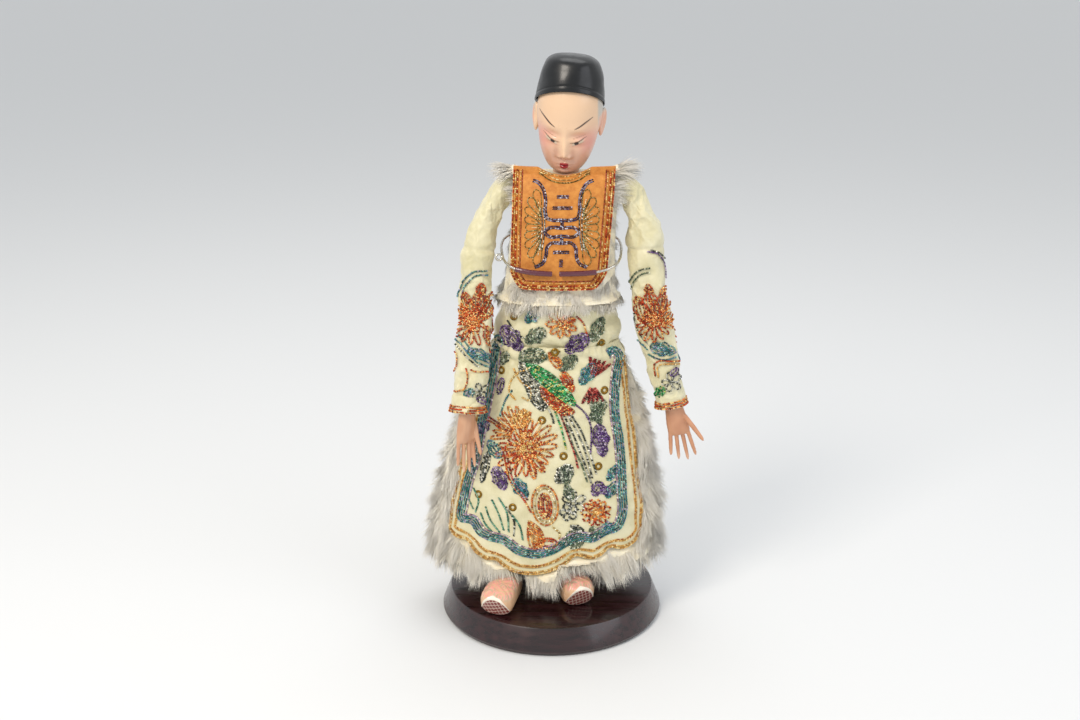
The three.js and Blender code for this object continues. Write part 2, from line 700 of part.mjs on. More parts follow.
// Stand: a turned disc, a steel rod behind the figure, and a collar that slides on the rod.
function rodRoom(length, centre) {
  const radius = ROD_DIAMETER / 2 + GAP;
  const room = new THREE.CylinderGeometry(radius, radius, length, 18);
  return room.rotateX(Math.PI / 2).translate(ROD_X, ROD_BEHIND, centre);
}

function standBase() {
  const r = BASE_FOOT_ROUND;
  const outline = [
    [0, 0],
    [BASE_RADIUS - r, 0],
    [BASE_RADIUS - r * 0.29, r * 0.29],
    [BASE_RADIUS, r],
    [BASE_TOP_RADIUS, BASE_HEIGHT - BASE_ARRIS],
    [BASE_TOP_RADIUS - BASE_ARRIS, BASE_HEIGHT],
    [0, BASE_HEIGHT],
  ].map(([x, y]) => new THREE.Vector2(x, y));
  const disc = new THREE.LatheGeometry(outline, 40).rotateX(Math.PI / 2);
  return cut(disc, rodRoom(2 * (ROD_SOCKET_DEPTH + GAP), BASE_HEIGHT));
}

// The wire is held at chest height: higher at the rod than at the front of the chest.
const WIRE_FRONT = 172.6;
const WIRE_BACK = 184;
const ROD_X = 3;
const ROD_TOP = SOLE_HEIGHT + WIRE_BACK * unit + COLLAR_LENGTH / 2 + 3;

function standRod() {
  const low = BASE_HEIGHT - ROD_SOCKET_DEPTH;
  const rod = new THREE.CylinderGeometry(ROD_DIAMETER / 2, ROD_DIAMETER / 2, ROD_TOP - low, 14);
  return rod.rotateX(Math.PI / 2).translate(ROD_X, ROD_BEHIND, (ROD_TOP + low) / 2);
}

function rodCollar() {
  const middleHeight = SOLE_HEIGHT + WIRE_BACK * unit;
  const block = new THREE.CylinderGeometry(COLLAR_DIAMETER / 2, COLLAR_DIAMETER / 2, COLLAR_LENGTH, 18);
  block.rotateX(Math.PI / 2).translate(ROD_X, ROD_BEHIND, middleHeight);
  return cut(block, rodRoom(COLLAR_LENGTH * 2, middleHeight));
}

// How far in front of the torso's middle the wire's ends lie, clear of the chest panel.
const GRIP_CLEARANCE = 0.7;
const wireFrontReach = level(TORSO, WIRE_FRONT, 2) * unit + chestOut + CHEST_CLOTH + GRIP_CLEARANCE + GRIP_DIAMETER / 2;
const wireSideReach = level(TORSO, 180, 1) * unit + VEST_PELT + 2 * GAP + WIRE_DIAMETER / 2 + 0.3;

// Points of one half of the wire, from the collar round to the front; side is -1 on the doll's right.
function wireHalf(side) {
  const centre = middle(WIRE_FRONT) * unit;
  const back = SOLE_HEIGHT + WIRE_BACK * unit;
  const front = SOLE_HEIGHT + WIRE_FRONT * unit;
  const inner = GRIP_SPACE / 2;
  const collarFace = ROD_BEHIND - COLLAR_DIAMETER / 2 - GAP;
  const wide = wireSideReach;
  const rise = (share) => THREE.MathUtils.lerp(front, back, share);
  return [
    [ROD_X + side * (WIRE_DIAMETER / 2 + 0.2), collarFace - WIRE_KNOT_RADIUS, rise(1)],
    [ROD_X + side * 4, collarFace - WIRE_KNOT_RADIUS - 3, rise(0.98)],
    [centre + side * wide * 0.62, 24 * unit, rise(0.94)],
    [centre + side * wide * 0.95, 13 * unit, rise(0.85)],
    [centre + side * wide * 1.02, 2 * unit, rise(0.72)],
    [centre + side * wide * 1.0, -8 * unit, rise(0.56)],
    [centre + side * wide * 0.95, -15.5 * unit, rise(0.36)],
    [centre + side * wide * 0.8, -wireFrontReach * 0.88, rise(0.18)],
    [centre + side * wide * 0.5, -wireFrontReach * 0.985, rise(0.05)],
    [centre - 3 + side * inner, -wireFrontReach, front],
  ].map((p) => new THREE.Vector3(...p));
}

const WIRE_STEPS = 22;
function clampWire() {
  const halves = [-1, 1].map((side) => {
    const points = wireHalf(side);
    const end = points.at(-1).clone();
    end.x += side * 1.5;
    points[points.length - 1] = end;
    return tube(points, WIRE_DIAMETER, 5, WIRE_STEPS);
  });
  const start = wireHalf(1)[0];
  const knot = new THREE.SphereGeometry(WIRE_KNOT_RADIUS, 8, 6).translate(ROD_X, start.y, start.z);
  return join(...halves, knot, wireEye());
}

// The eye stands out from the right-hand run of the wire, just in front of the sleeve.
function wireEye() {
  const run = new THREE.CatmullRomCurve3(wireHalf(-1), false, "centripetal");
  const spot = run.getPointAt(0.66);
  const eye = new THREE.TorusGeometry(WIRE_EYE_RADIUS, WIRE_DIAMETER / 2 - 0.1, 5, 9);
  eye.rotateX(Math.PI / 2 - 0.35);
  return eye.translate(spot.x - WIRE_EYE_RADIUS - 0.4, spot.y, spot.z + 0.2);
}

function grip(side) {
  const curve = new THREE.CatmullRomCurve3(wireHalf(side), false, "centripetal");
  const share = GRIP_LENGTH / curve.getLength();
  const points = [0, 0.25, 0.5, 0.75, 1].map((t) => curve.getPointAt(THREE.MathUtils.lerp(1 - share, 1, t)));
  const sleeve = tube(points, GRIP_DIAMETER, 8, 5);
  const core = tube(wireHalf(side).map((p) => p.clone()), WIRE_DIAMETER + 2 * GAP, 6, WIRE_STEPS);
  const blocked = new THREE.SphereGeometry(WIRE_DIAMETER, 8, 6).translate(...points.at(-1).toArray());
  return cut(sleeve, cut(core, blocked));
}

// Braid along the front panel's side edges and scalloped hem, lying on the silk just inside the edge.
const BRAID_INSET = 1.6;
const HEM_STEPS = 40;
function skirtBraid(room = 0) {
  const out = GAP + BRAID_DIAMETER / 2;
  const sides = [126, 110, 92, 76, 62, 50];
  const inset = (z) => sideAngle(z) - BRAID_INSET / level(SKIRT, z, 1);
  const ends = inset(40);
  const hem = [];
  for (let i = 0; i <= HEM_STEPS; i++) {
    const angle = THREE.MathUtils.lerp(-ends, ends, i / HEM_STEPS);
    hem.push(skirtPoint(angle, frontHem(angle) + BRAID_INSET / unit, out));
  }
  const right = sides.map((z) => skirtPoint(-inset(z), z, out));
  const left = sides.map((z) => skirtPoint(inset(z), z, out)).reverse();
  return tube([...right, ...hem, ...left], BRAID_DIAMETER + 2 * room, 5, 58);
}

// Braid round the chest panel's sides and foot.
function chestBraid() {
  const surface = chestSurface(0, chestOut + CHEST_CLOTH + 2 * GAP + CHEST_BRAID_DIAMETER / 2);
  const inset = 0.035;
  const path = [];
  for (const v of [0.93, 0.75, 0.55, 0.35, 0.16]) path.push(surface(inset, v));
  for (let i = 0; i <= 12; i++) path.push(surface(THREE.MathUtils.lerp(0.06, 0.94, i / 12), 0.03));
  for (const v of [0.16, 0.35, 0.55, 0.75, 0.93]) path.push(surface(1 - inset, v));
  return tube(path, CHEST_BRAID_DIAMETER, 5, 32);
}

function paint(color, roughness, metalness = 0) {
  return new THREE.MeshStandardMaterial({ color, roughness, metalness });
}
const COLOURS = {
  mahogany: paint(0x2b1014, 0.28),
  steel: paint(0xc9c6bd, 0.3, 0.9),
  vinyl: paint(0x6d1a33, 0.35),
  flesh: paint(0xdea184, 0.38),
  blackLacquer: paint(0x14161a, 0.22),
  silk: paint(0xe6dfbf, 0.55),
  orangeCloth: paint(0xd0822f, 0.8),
  fur: paint(0xe9e4d2, 0.95),
  trouserCloth: paint(0xd8d0b4, 0.85),
  painted: paint(0xd9a98a, 0.5),
  goldBraid: paint(0xc98a3c, 0.35, 0.7),
};

const figure = new THREE.Group();
function piece(name, geometry, material) {
  const mesh = new THREE.Mesh(geometry, material);
  mesh.name = name;
  figure.add(mesh);
}

const head = join(join(skull(), ear(-1), ear(1)).applyMatrix4(headFrame()), neckTube(0, NECK_FOOT, 230));
piece("stand_base", standBase(), COLOURS.mahogany);
piece("stand_rod", standRod(), COLOURS.steel);
piece("rod_collar", rodCollar(), COLOURS.steel);
piece("clamp_wire", clampWire(), COLOURS.steel);
piece("clamp_grip_right", grip(-1), COLOURS.vinyl);
piece("clamp_grip_left", grip(1), COLOURS.vinyl);
piece("head", head, COLOURS.flesh);
piece("cap", cap(), COLOURS.blackLacquer);
piece(
  "robe_body",
  cut(
    torsoSkin(),
    limb(SLEEVE_RIGHT, GAP, SLEEVE_SIDES, GAP),
    limb(SLEEVE_LEFT, GAP, SLEEVE_SIDES, GAP),
    neckTube(GAP, NECK_FOOT - GAP / unit, 240),
  ),
  COLOURS.silk,
);
piece("sleeve_right", cut(limb(SLEEVE_RIGHT, 0, SLEEVE_SIDES), cuffRoom(HAND_RIGHT)), COLOURS.silk);
piece("sleeve_left", cut(limb(SLEEVE_LEFT, 0, SLEEVE_SIDES), cuffRoom(HAND_LEFT)), COLOURS.silk);
piece("hand_right", hand(HAND_RIGHT), COLOURS.flesh);
piece("hand_left", hand(HAND_LEFT), COLOURS.flesh);
piece("fur_vest", furVest(), COLOURS.fur);
piece("chest_panel", chestCloth(0, 12, 8), COLOURS.orangeCloth);
piece("back_panel", chestCloth(1, 8, 6), COLOURS.orangeCloth);
piece("chest_braid", cut(chestBraid(), chestCloth(0, 12, 8, GAP)), COLOURS.goldBraid);
piece("skirt_front", skirtFront(), COLOURS.silk);
piece("skirt_back", skirtBack(), COLOURS.silk);
piece("skirt_braid", skirtBraid(), COLOURS.goldBraid);
const feet = [
  limb(LEG_RIGHT, GAP, 10, GAP),
  limb(LEG_LEFT, GAP, 10, GAP),
  shoe(SHOE_RIGHT, GAP),
  shoe(SHOE_LEFT, GAP),
];
const furFront = cutTo(FUR_FINEST, furSheet(FRONT, 28, 5), skirtRoom(FRONT), skirtBraid(GAP), ...feet);
piece("skirt_fur_front", furFront, COLOURS.fur);
piece("skirt_fur_back", cutTo(FUR_FINEST, furSheet(BACK, 18, 4), skirtRoom(BACK), ...feet), COLOURS.fur);
piece("leg_right", limb(LEG_RIGHT, 0, 10), COLOURS.trouserCloth);
piece("leg_left", limb(LEG_LEFT, 0, 10), COLOURS.trouserCloth);
piece("shoe_right", cut(shoe(SHOE_RIGHT), limb(LEG_RIGHT, GAP, 10, GAP)), COLOURS.painted);
piece("shoe_left", cut(shoe(SHOE_LEFT), limb(LEG_LEFT, GAP, 10, GAP)), COLOURS.painted);

export default figure;
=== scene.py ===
# %% [markdown]
# # A costumed opera figure on its stand
# The object is a figure about 29 cm tall: a painted head and hands, a cream silk robe worked in metal
# thread, an orange chest panel, white fur showing at every edge, and a wire clamp that holds it over a dark
# wooden disc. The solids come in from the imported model. Each soft or fine piece is then made again here, on
# top of its solid.

import math

import bmesh
import bpy
import numpy as np
from mathutils import Matrix, Vector
from mathutils.bvhtree import BVHTree


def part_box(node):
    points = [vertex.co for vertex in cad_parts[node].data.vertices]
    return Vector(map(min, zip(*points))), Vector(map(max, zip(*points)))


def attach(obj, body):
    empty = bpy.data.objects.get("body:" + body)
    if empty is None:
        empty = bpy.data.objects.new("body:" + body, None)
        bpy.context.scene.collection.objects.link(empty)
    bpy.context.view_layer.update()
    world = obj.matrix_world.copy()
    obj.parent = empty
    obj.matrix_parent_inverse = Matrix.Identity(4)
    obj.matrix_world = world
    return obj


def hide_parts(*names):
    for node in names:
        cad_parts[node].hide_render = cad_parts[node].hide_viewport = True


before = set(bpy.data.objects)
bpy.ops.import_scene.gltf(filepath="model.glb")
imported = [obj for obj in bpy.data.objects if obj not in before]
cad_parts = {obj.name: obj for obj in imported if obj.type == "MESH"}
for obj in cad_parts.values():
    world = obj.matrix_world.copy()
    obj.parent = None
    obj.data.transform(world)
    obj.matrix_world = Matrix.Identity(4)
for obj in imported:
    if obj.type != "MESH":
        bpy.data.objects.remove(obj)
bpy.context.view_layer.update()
MM = 0.001
rng = np.random.default_rng(11)

# %% [markdown]
# ## Camera
# The photograph was taken from in front and a little above. The camera was worked out from the two ellipses
# of the stand's disc, so a pixel of the photograph is a straight line in this scene. That line is used
# later, to lay each stitched motif where the photograph has it.

# %% The camera and the line through a pixel
PHOTO_SIZE = (1080, 720)
FOCAL_PIXELS = 1344
PITCH = math.radians(17.91)
EYE = Vector((-6.1, -644.0, 343.8)) * MM

camera_data = bpy.data.cameras.new("camera")
camera_data.sensor_width = 36
camera_data.lens = 36 * FOCAL_PIXELS / PHOTO_SIZE[0]
camera = bpy.data.objects.new("camera", camera_data)
camera.location = EYE
camera.rotation_euler = (math.pi / 2 - PITCH, 0, 0)
bpy.context.scene.collection.objects.link(camera)
bpy.context.scene.camera = camera
bpy.context.scene.view_settings.view_transform = "Standard"


def line_through(px, py):
    """Direction of the line from the eye through a pixel of the photograph."""
    side = (px - PHOTO_SIZE[0] / 2) / FOCAL_PIXELS
    rise = -(py - PHOTO_SIZE[1] / 2) / FOCAL_PIXELS
    ahead = Vector((0, math.cos(PITCH), -math.sin(PITCH)))
    up = Vector((0, math.sin(PITCH), math.cos(PITCH)))
    return (ahead + Vector((1, 0, 0)) * side + up * rise).normalized()


print("lens in mm:", round(camera_data.lens, 1))

# %% [markdown]
# ## Small helpers
# Every finish is a node material, and three things are wanted again and again: a colour written as a hex
# value, a node with its settings and links, and a mesh turned into a piece of the model.

# %% Helpers for colour, nodes and pieces
def linear(hex_colour):
    """An sRGB hex colour as the linear values that shaders use."""
    values = [int(hex_colour[i : i + 2], 16) / 255 for i in (1, 3, 5)]
    return tuple(v / 12.92 if v <= 0.04045 else ((v + 0.055) / 1.055) ** 2.4 for v in values) + (1.0,)


def add_node(material, kind, settings=None, **links):
    """Adds a node. Settings are properties or socket values; links give an input's name and its source."""
    node = material.node_tree.nodes.new(kind)
    for name, value in (settings or {}).items():
        if hasattr(node, name):
            setattr(node, name, value)
        else:
            node.inputs[name].default_value = value
    for name, socket in links.items():
        key = int(name[3:]) if name.startswith("in_") else name.replace("_", " ")
        material.node_tree.links.new(socket, node.inputs[key])
    return node


def new_material(name, **settings):
    """A material with one Principled shader, and that shader."""
    material = bpy.data.materials.new(name)
    material.use_nodes = True
    shader = material.node_tree.nodes["Principled BSDF"]
    for key, value in settings.items():
        shader.inputs[key.replace("_", " ")].default_value = value
    return material, shader


def link(material, source, target):
    material.node_tree.links.new(source, target)


def two_tone(material, source, positions, colours):
    """A ramp between two hex colours, each at its position in the source's values."""
    ramp = add_node(material, "ShaderNodeValToRGB", Fac=source)
    for element, position, colour in zip(ramp.color_ramp.elements, positions, colours):
        element.position = position
        element.color = linear(colour)
    return ramp.outputs["Color"]


def rough_between(material, shader, source, low, high):
    """Roughness that follows a noise between two values."""
    spread = add_node(
        material, "ShaderNodeMapRange", {"From Min": 0.3, "From Max": 0.7, "To Min": low, "To Max": high},
        Value=source,
    )
    link(material, spread.outputs["Result"], shader.inputs["Roughness"])


def in_relief(material, shader, source, strength, distance):
    relief = add_node(
        material, "ShaderNodeBump", {"Strength": strength, "Distance": distance}, Height=source)
    link(material, relief.outputs["Normal"], shader.inputs["Normal"])


def piece(name, mesh, material, replaces=()):
    """Puts a mesh in the scene as a piece that rides with the figure."""
    for polygon in mesh.polygons:
        polygon.use_smooth = True
    made = bpy.data.objects.new(name, mesh)
    bpy.context.scene.collection.objects.link(made)
    mesh.materials.clear()
    mesh.materials.append(material)
    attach(made, "root")
    if replaces:
        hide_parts(*replaces)
    return made


def mesh_from(bm, name):
    mesh = bpy.data.meshes.new(name)
    bm.to_mesh(mesh)
    bm.free()
    return mesh


def flat_grid(name, across, down, size=1):
    bm = bmesh.new()
    bmesh.ops.create_grid(bm, x_segments=across, y_segments=down, size=size)
    return mesh_from(bm, name)


def turn_profile(bm, profile, steps, weld, closed=False):
    """Spins a profile of radius and height round the upright axis."""
    corners = [bm.verts.new((r, 0, z)) for r, z in profile]
    following = corners[1:] + corners[:1] if closed else corners[1:]
    edges = [bm.edges.new(pair) for pair in zip(corners, following)]
    bmesh.ops.spin(bm, geom=corners + edges, cent=(0, 0, 0), axis=(0, 0, 1), angle=2 * math.pi,
                   steps=steps, use_merge=True)
    bmesh.ops.remove_doubles(bm, verts=bm.verts, dist=weld)
    bmesh.ops.recalc_face_normals(bm, faces=bm.faces)


print("helpers ready")

# %% [markdown]
# ## Softened copies
# The solids are faceted. A voxel remesh turns a copy of one into an even skin of small squares, and a few
# rounds of smoothing take the facets off. Stuffed cloth, painted composition and wire all start this way.

# %% A smooth, even copy of a solid
def soft_copy(node, voxel, rounds):
    """A remeshed and smoothed copy of a solid's mesh, with voxel in millimetres."""
    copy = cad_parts[node].copy()
    copy.data = copy.data.copy()
    copy.parent = None
    bpy.context.scene.collection.objects.link(copy)
    bm = bmesh.new()
    bm.from_mesh(copy.data)
    bmesh.ops.remove_doubles(bm, verts=bm.verts, dist=1e-6)
    bm.to_mesh(copy.data)
    bm.free()
    remesh = copy.modifiers.new("remesh", "REMESH")
    remesh.mode = "VOXEL"
    remesh.voxel_size = voxel * MM
    smooth = copy.modifiers.new("smooth", "SMOOTH")
    smooth.factor = 0.5
    smooth.iterations = rounds
    graph = bpy.context.evaluated_depsgraph_get()
    mesh = bpy.data.meshes.new_from_object(copy.evaluated_get(graph))
    bpy.data.objects.remove(copy)
    return mesh


def points_of(mesh):
    values = np.empty(len(mesh.vertices) * 3)
    mesh.vertices.foreach_get("co", values)
    return values.reshape(-1, 3) / MM


def normals_of(mesh):
    values = np.empty(len(mesh.vertices) * 3)
    mesh.vertices.foreach_get("normal", values)
    return values.reshape(-1, 3)


def move_points(mesh, points):
    mesh.vertices.foreach_set("co", (points * MM).ravel())
    mesh.update()


def paint_points(mesh, colours):
    """Stores one linear colour for each point of a mesh."""
    layer = mesh.color_attributes.new("paint", "FLOAT_COLOR", "POINT")
    full = np.ones((len(mesh.vertices), 4))
    full[:, :3] = colours
    layer.data.foreach_set("color", full.ravel())


def step(low, high, value):
    """A smooth step from 0 at low to 1 at high; low may be the larger."""
    t = np.clip((value - low) / (high - low), 0, 1)
    return t * t * (3 - 2 * t)


def hump(distance, width):
    """A smooth hump, 1 where the distance is 0 and gone at about twice the width."""
    return np.exp(-((distance / width) ** 2))


print("softening ready")

# %% [markdown]
# ## Finishes
# **Silk satin** is smooth, cream and a little green, with a low soft gloss along its folds. Its weave is
# too fine to see at this size, so a slub, the uneven thickness of the threads, is drawn about 0.4 mm apart
# instead.

# %% Silk satin
def woven(name, colours, spacing, roughness, sheen, bump, blotch=9.0):
    """A cloth: blotchy colour, crossing threads a spacing of millimetres apart, and a soft sheen."""
    material, shader = new_material(name, Roughness=roughness, Sheen_Weight=sheen, Sheen_Roughness=0.45)
    place = add_node(material, "ShaderNodeTexCoord")
    cloud = add_node(
        material, "ShaderNodeTexNoise", {"Scale": 1000 / blotch, "Detail": 6, "Roughness": 0.62},
        Vector=place.outputs["Object"],
    )
    colour = two_tone(material, cloud.outputs["Fac"], (0.3, 0.72), colours)
    link(material, colour, shader.inputs["Base Color"])
    threads = []
    for stretch in ((1, 1, 0.16), (0.16, 0.16, 1)):
        mapping = add_node(
            material, "ShaderNodeMapping", {"Scale": tuple(1000 / spacing * s for s in stretch)},
            Vector=place.outputs["Object"],
        )
        threads.append(add_node(
            material, "ShaderNodeTexNoise", {"Scale": 1.0, "Detail": 2}, Vector=mapping.outputs["Vector"]))
    both = add_node(
        material, "ShaderNodeMath", {"operation": "ADD"},
        in_0=threads[0].outputs["Fac"], in_1=threads[1].outputs["Fac"],
    )
    in_relief(material, shader, both.outputs["Value"], bump, 0.0002)
    return material


silk = woven("cream_silk_satin", ("#cdc59a", "#e2dbb9"), 0.4, 0.4, 0.3, 0.55)
orange = woven("orange_woven_cloth", ("#b56a1c", "#d9913c"), 0.55, 0.62, 0.25, 0.8, blotch=3.0)
cotton = woven("cream_cotton", ("#c9c1a2", "#dcd5b8"), 0.5, 0.85, 0.2, 0.5)
print("cloths:", silk.name, orange.name, cotton.name)

# %% [markdown]
# **Metal thread** is paper-thin gilt foil wound round a core. It is a metal to the eye only in glints, and
# the dye on it is strong, so the stitches carry their own colour and the finish adds a half-metallic gloss.
# ** Fur** is white at the tips and cream near the skin, with painted shade between its locks that is
# deepest near the roots. Each hair carries its own colour too.

# %% Metal thread, sequins and fur
def coloured_by_points(name, **settings):
    material, shader = new_material(name, **settings)
    own = add_node(material, "ShaderNodeVertexColor", {"layer_name": "paint"})
    link(material, own.outputs["Color"], shader.inputs["Base Color"])
    return material, shader


metal_thread, _ = coloured_by_points("dyed_metal_thread", Metallic=0.55, Roughness=0.32)
sequin_metal, _ = new_material("gilt_sequin", Base_Color=linear("#8a6a2c"), Metallic=1.0, Roughness=0.32)
fur, fur_shader = coloured_by_points("rabbit_fur", Roughness=0.7, Sheen_Weight=0.4, Sheen_Roughness=0.5)
fur_shader.inputs["Subsurface Weight"].default_value = 0.35
fur_shader.inputs["Subsurface Radius"].default_value = (1.0, 0.9, 0.75)
fur_shader.inputs["Subsurface Scale"].default_value = 0.0015
print("threads and fur ready")

# %% [markdown]
# **Painted composition** is plaster-like paste under flesh paint and varnish: a soft gloss, slightly
# uneven.
# **Lacquer** on the cap and the disc is darker and glossier, with fine wear where hands have rubbed it.

# %% Paint, lacquer, steel and vinyl
painted, painted_shader = coloured_by_points("varnished_flesh_paint", Roughness=0.34, Coat_Weight=0.35)
painted_shader.inputs["Coat Roughness"].default_value = 0.12


def with_unevenness(material, shader, scale, low, high, bump):
    """Roughness and relief that wander a little, scale in millimetres."""
    place = add_node(material, "ShaderNodeTexCoord")
    wander = add_node(
        material, "ShaderNodeTexNoise", {"Scale": 1000 / scale, "Detail": 5}, Vector=place.outputs["Object"])
    rough_between(material, shader, wander.outputs["Fac"], low, high)
    in_relief(material, shader, wander.outputs["Fac"], bump, 0.0003)


with_unevenness(painted, painted_shader, 6, 0.26, 0.42, 0.06)
cap_lacquer, cap_shader = new_material("black_lacquer", Base_Color=linear("#07090c"), Coat_Weight=0.4)
cap_shader.inputs["Coat Roughness"].default_value = 0.2
cap_shader.inputs["Specular IOR Level"].default_value = 0.3
with_unevenness(cap_lacquer, cap_shader, 4, 0.28, 0.46, 0.35)
steel, steel_shader = new_material("bright_steel", Base_Color=linear("#c8c4ba"), Metallic=1.0)
with_unevenness(steel, steel_shader, 2, 0.18, 0.32, 0.05)
vinyl, vinyl_shader = new_material("maroon_vinyl", Base_Color=linear("#551428"), Coat_Weight=0.8)
with_unevenness(vinyl, vinyl_shader, 3, 0.24, 0.36, 0.05)

WOOD_STRETCH = (40, 420, 420)  # cells of noise in a metre; few along x, so the grain runs that way
wood, wood_shader = new_material("mahogany_lacquer", Coat_Weight=0.5)
wood_shader.inputs["Coat Roughness"].default_value = 0.12
wood_place = add_node(wood, "ShaderNodeTexCoord")
stretched = add_node(wood, "ShaderNodeMapping", {"Scale": WOOD_STRETCH}, Vector=wood_place.outputs["Object"])
grain = add_node(
    wood, "ShaderNodeTexNoise", {"Scale": 1.0, "Detail": 8}, Vector=stretched.outputs["Vector"]
).outputs["Fac"]
link(wood, two_tone(wood, grain, (0.3, 0.75), ("#130608", "#331315")), wood_shader.inputs["Base Color"])
rough_between(wood, wood_shader, grain, 0.2, 0.38)
in_relief(wood, wood_shader, grain, 0.08, 0.0002)
print("hard finishes ready")

# %% [markdown]
# ## The stand
# The disc was turned on a lathe, so one profile is spun round the axis. Its rod and collar keep their
# solids.

# %% Turn the disc
_, base_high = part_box("stand_base")
DISC_RADIUS = base_high[0] / MM
DISC_HEIGHT = base_high[2] / MM
DISC_TOP_RADIUS = 53.0
DISC_PROFILE = [
    (0, 0), (DISC_RADIUS - 2.4, 0), (DISC_RADIUS - 0.7, 0.6), (DISC_RADIUS, 2.2),
    (DISC_TOP_RADIUS + 0.35, DISC_HEIGHT - 0.9), (DISC_TOP_RADIUS - 0.1, DISC_HEIGHT - 0.25),
    (DISC_TOP_RADIUS - 0.9, DISC_HEIGHT), (0, DISC_HEIGHT),
]
bm = bmesh.new()
turn_profile(bm, [(r * MM, z * MM) for r, z in DISC_PROFILE], 128, 1e-6)
disc_mesh = mesh_from(bm, "turned_disc")
disc = piece("turned_disc", disc_mesh, wood, replaces=["stand_base"])
crisp_rims = disc.modifiers.new("crisp_rims", "EDGE_SPLIT")
crisp_rims.split_angle = math.radians(35)
for name in ("stand_rod", "rod_collar"):
    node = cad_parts[name]
    node.data.materials.clear()
    node.data.materials.append(steel)
print("disc faces:", len(disc_mesh.polygons))

# %% [markdown]
# ## The clamp
# One springy wire goes round the chest, with a small eye bent in it, and its two ends wear maroon vinyl
# sleeves. Softened copies keep the solid's route and make the section round.

# %% Wire and its sleeves
wire = piece("sprung_wire", soft_copy("clamp_wire", 0.3, 3), steel, replaces=["clamp_wire"])
for side in ("right", "left"):
    node = f"clamp_grip_{side}"
    piece(f"vinyl_sleeve_{side}", soft_copy(node, 0.32, 5), vinyl, replaces=[node])
print("wire faces:", len(wire.data.polygons))

# %% [markdown]
# ## Smooth curves and lofted skins
# Sleeves, the body, the head and the shoes are all rounded tubes. Each is written as a short table of
# sections. A smooth curve goes through the rows, and a sphere's points are moved onto the skin that the
# rows describe.

# %% Curves through a table, and lofts
def spline(rows, count):
    """Evenly spaced samples of a smooth curve through the rows of a table."""
    rows = np.asarray(rows, dtype=float)
    knots = np.concatenate([[0], np.cumsum(np.maximum(np.linalg.norm(np.diff(rows, axis=0), axis=1), 1e-6))])
    slopes = np.gradient(rows, knots, axis=0)
    at = np.linspace(0, knots[-1], count)
    i = np.clip(np.searchsorted(knots, at, side="right") - 1, 0, len(knots) - 2)
    width = (knots[i + 1] - knots[i])[:, None]
    s = (at - knots[i])[:, None] / width
    start = (2 * s**3 - 3 * s**2 + 1) * rows[i] + (s**3 - 2 * s**2 + s) * width * slopes[i]
    return start + (3 * s**2 - 2 * s**3) * rows[i + 1] + (s**3 - s**2) * width * slopes[i + 1]


def at_share(curve, share):
    """Values of an evenly sampled curve at shares, 0 to 1, of its length."""
    places = np.linspace(0, 1, len(curve))
    return np.stack([np.interp(share, places, column) for column in curve.T], axis=-1)


def loft(name, around, rows, shape):
    """A closed skin. shape gets the angle, 0 in front, and the share from the lower to the upper pole."""
    bm = bmesh.new()
    bmesh.ops.create_uvsphere(bm, u_segments=around, v_segments=rows, radius=1)
    mesh = mesh_from(bm, name)
    ball = points_of(mesh) * MM
    share = np.arcsin(np.clip(ball[:, 2], -1, 1)) / math.pi + 0.5
    move_points(mesh, shape(np.arctan2(ball[:, 0], -ball[:, 1]), share))
    bm = bmesh.new()
    bm.from_mesh(mesh)
    bmesh.ops.recalc_face_normals(bm, faces=bm.faces)
    bm.to_mesh(mesh)
    bm.free()
    return mesh


def joined(name, meshes):
    """Several meshes as one."""
    bm = bmesh.new()
    for mesh in meshes:
        bm.from_mesh(mesh)
    return mesh_from(bm, name)


def squared(value, power):
    """Rounds a sine or cosine towards a square, keeping its sign."""
    return np.sign(value) * np.abs(value) ** power


def placed(points, matrix):
    """Points moved by a matrix whose lengths are millimetres."""
    turned = np.array(matrix)
    return points @ turned[:3, :3].T + turned[:3, 3]


def blend(base, colour, share):
    """Moves rows of linear colours towards a hex colour by a share from 0 to 1."""
    return base + (np.array(linear(colour)[:3]) - base) * np.clip(share, 0, 1)[:, None]


print("lofting ready")

# %% [markdown]
# ## The robe's shape
# The robe hangs as an oval bell under the waist. The same heights and half widths that shape its solids are
# used here, so that cloth, fur and stitching all lie on one surface.

# %% The bell of the skirt and the trunk
SOLE_HEIGHT = DISC_HEIGHT + 0.3  # heights on the figure start at its soles
SKIRT = np.array([  # height, half width, half depth
    [14, 57.5, 30.5], [27, 57, 30], [50, 54.8, 28.4], [66, 51.6, 27],
    [82, 47.6, 25.4], [105, 41.4, 23.4], [120, 37, 21.8], [134.6, 32.6, 20.6],
])
# Rows: height, and how far round the side edge of a panel lies, in degrees from the front.
SIDE_EDGE = np.array([[28, 63], [50, 63.5], [72, 64.5], [98, 68.5], [122, 77], [134.6, 80]])
FRONT_HEM = np.array([  # degrees from the front, height of the hem
    [-65, 40], [-63, 35.6], [-57, 32.8], [-49.6, 31.8], [-43.6, 30.6], [-38, 26.1], [-32.3, 23.7],
    [-27, 23.2], [-21.9, 20.9], [-15.4, 18], [-9.2, 17], [-3.3, 17.1], [2.6, 18.3], [7, 20.3],
    [11.4, 22.5], [14.8, 25.6], [19.2, 25.6], [25.5, 24.3], [30.6, 25.6], [34.4, 28.4],
    [39.8, 27.9], [47.3, 27.4], [54.8, 29.2], [61, 32.8], [64, 38],
])
NOTCHES = (-45.5, -25, 17, 37)  # places between the lobes, in degrees from the front
NOTCH, NOTCH_WIDTH = 1.5, 2.6  # depth in millimetres, width in degrees
BACK_HEM, BACK_HEM_DROP = 34, 8
SILK_THICKNESS = 1.2
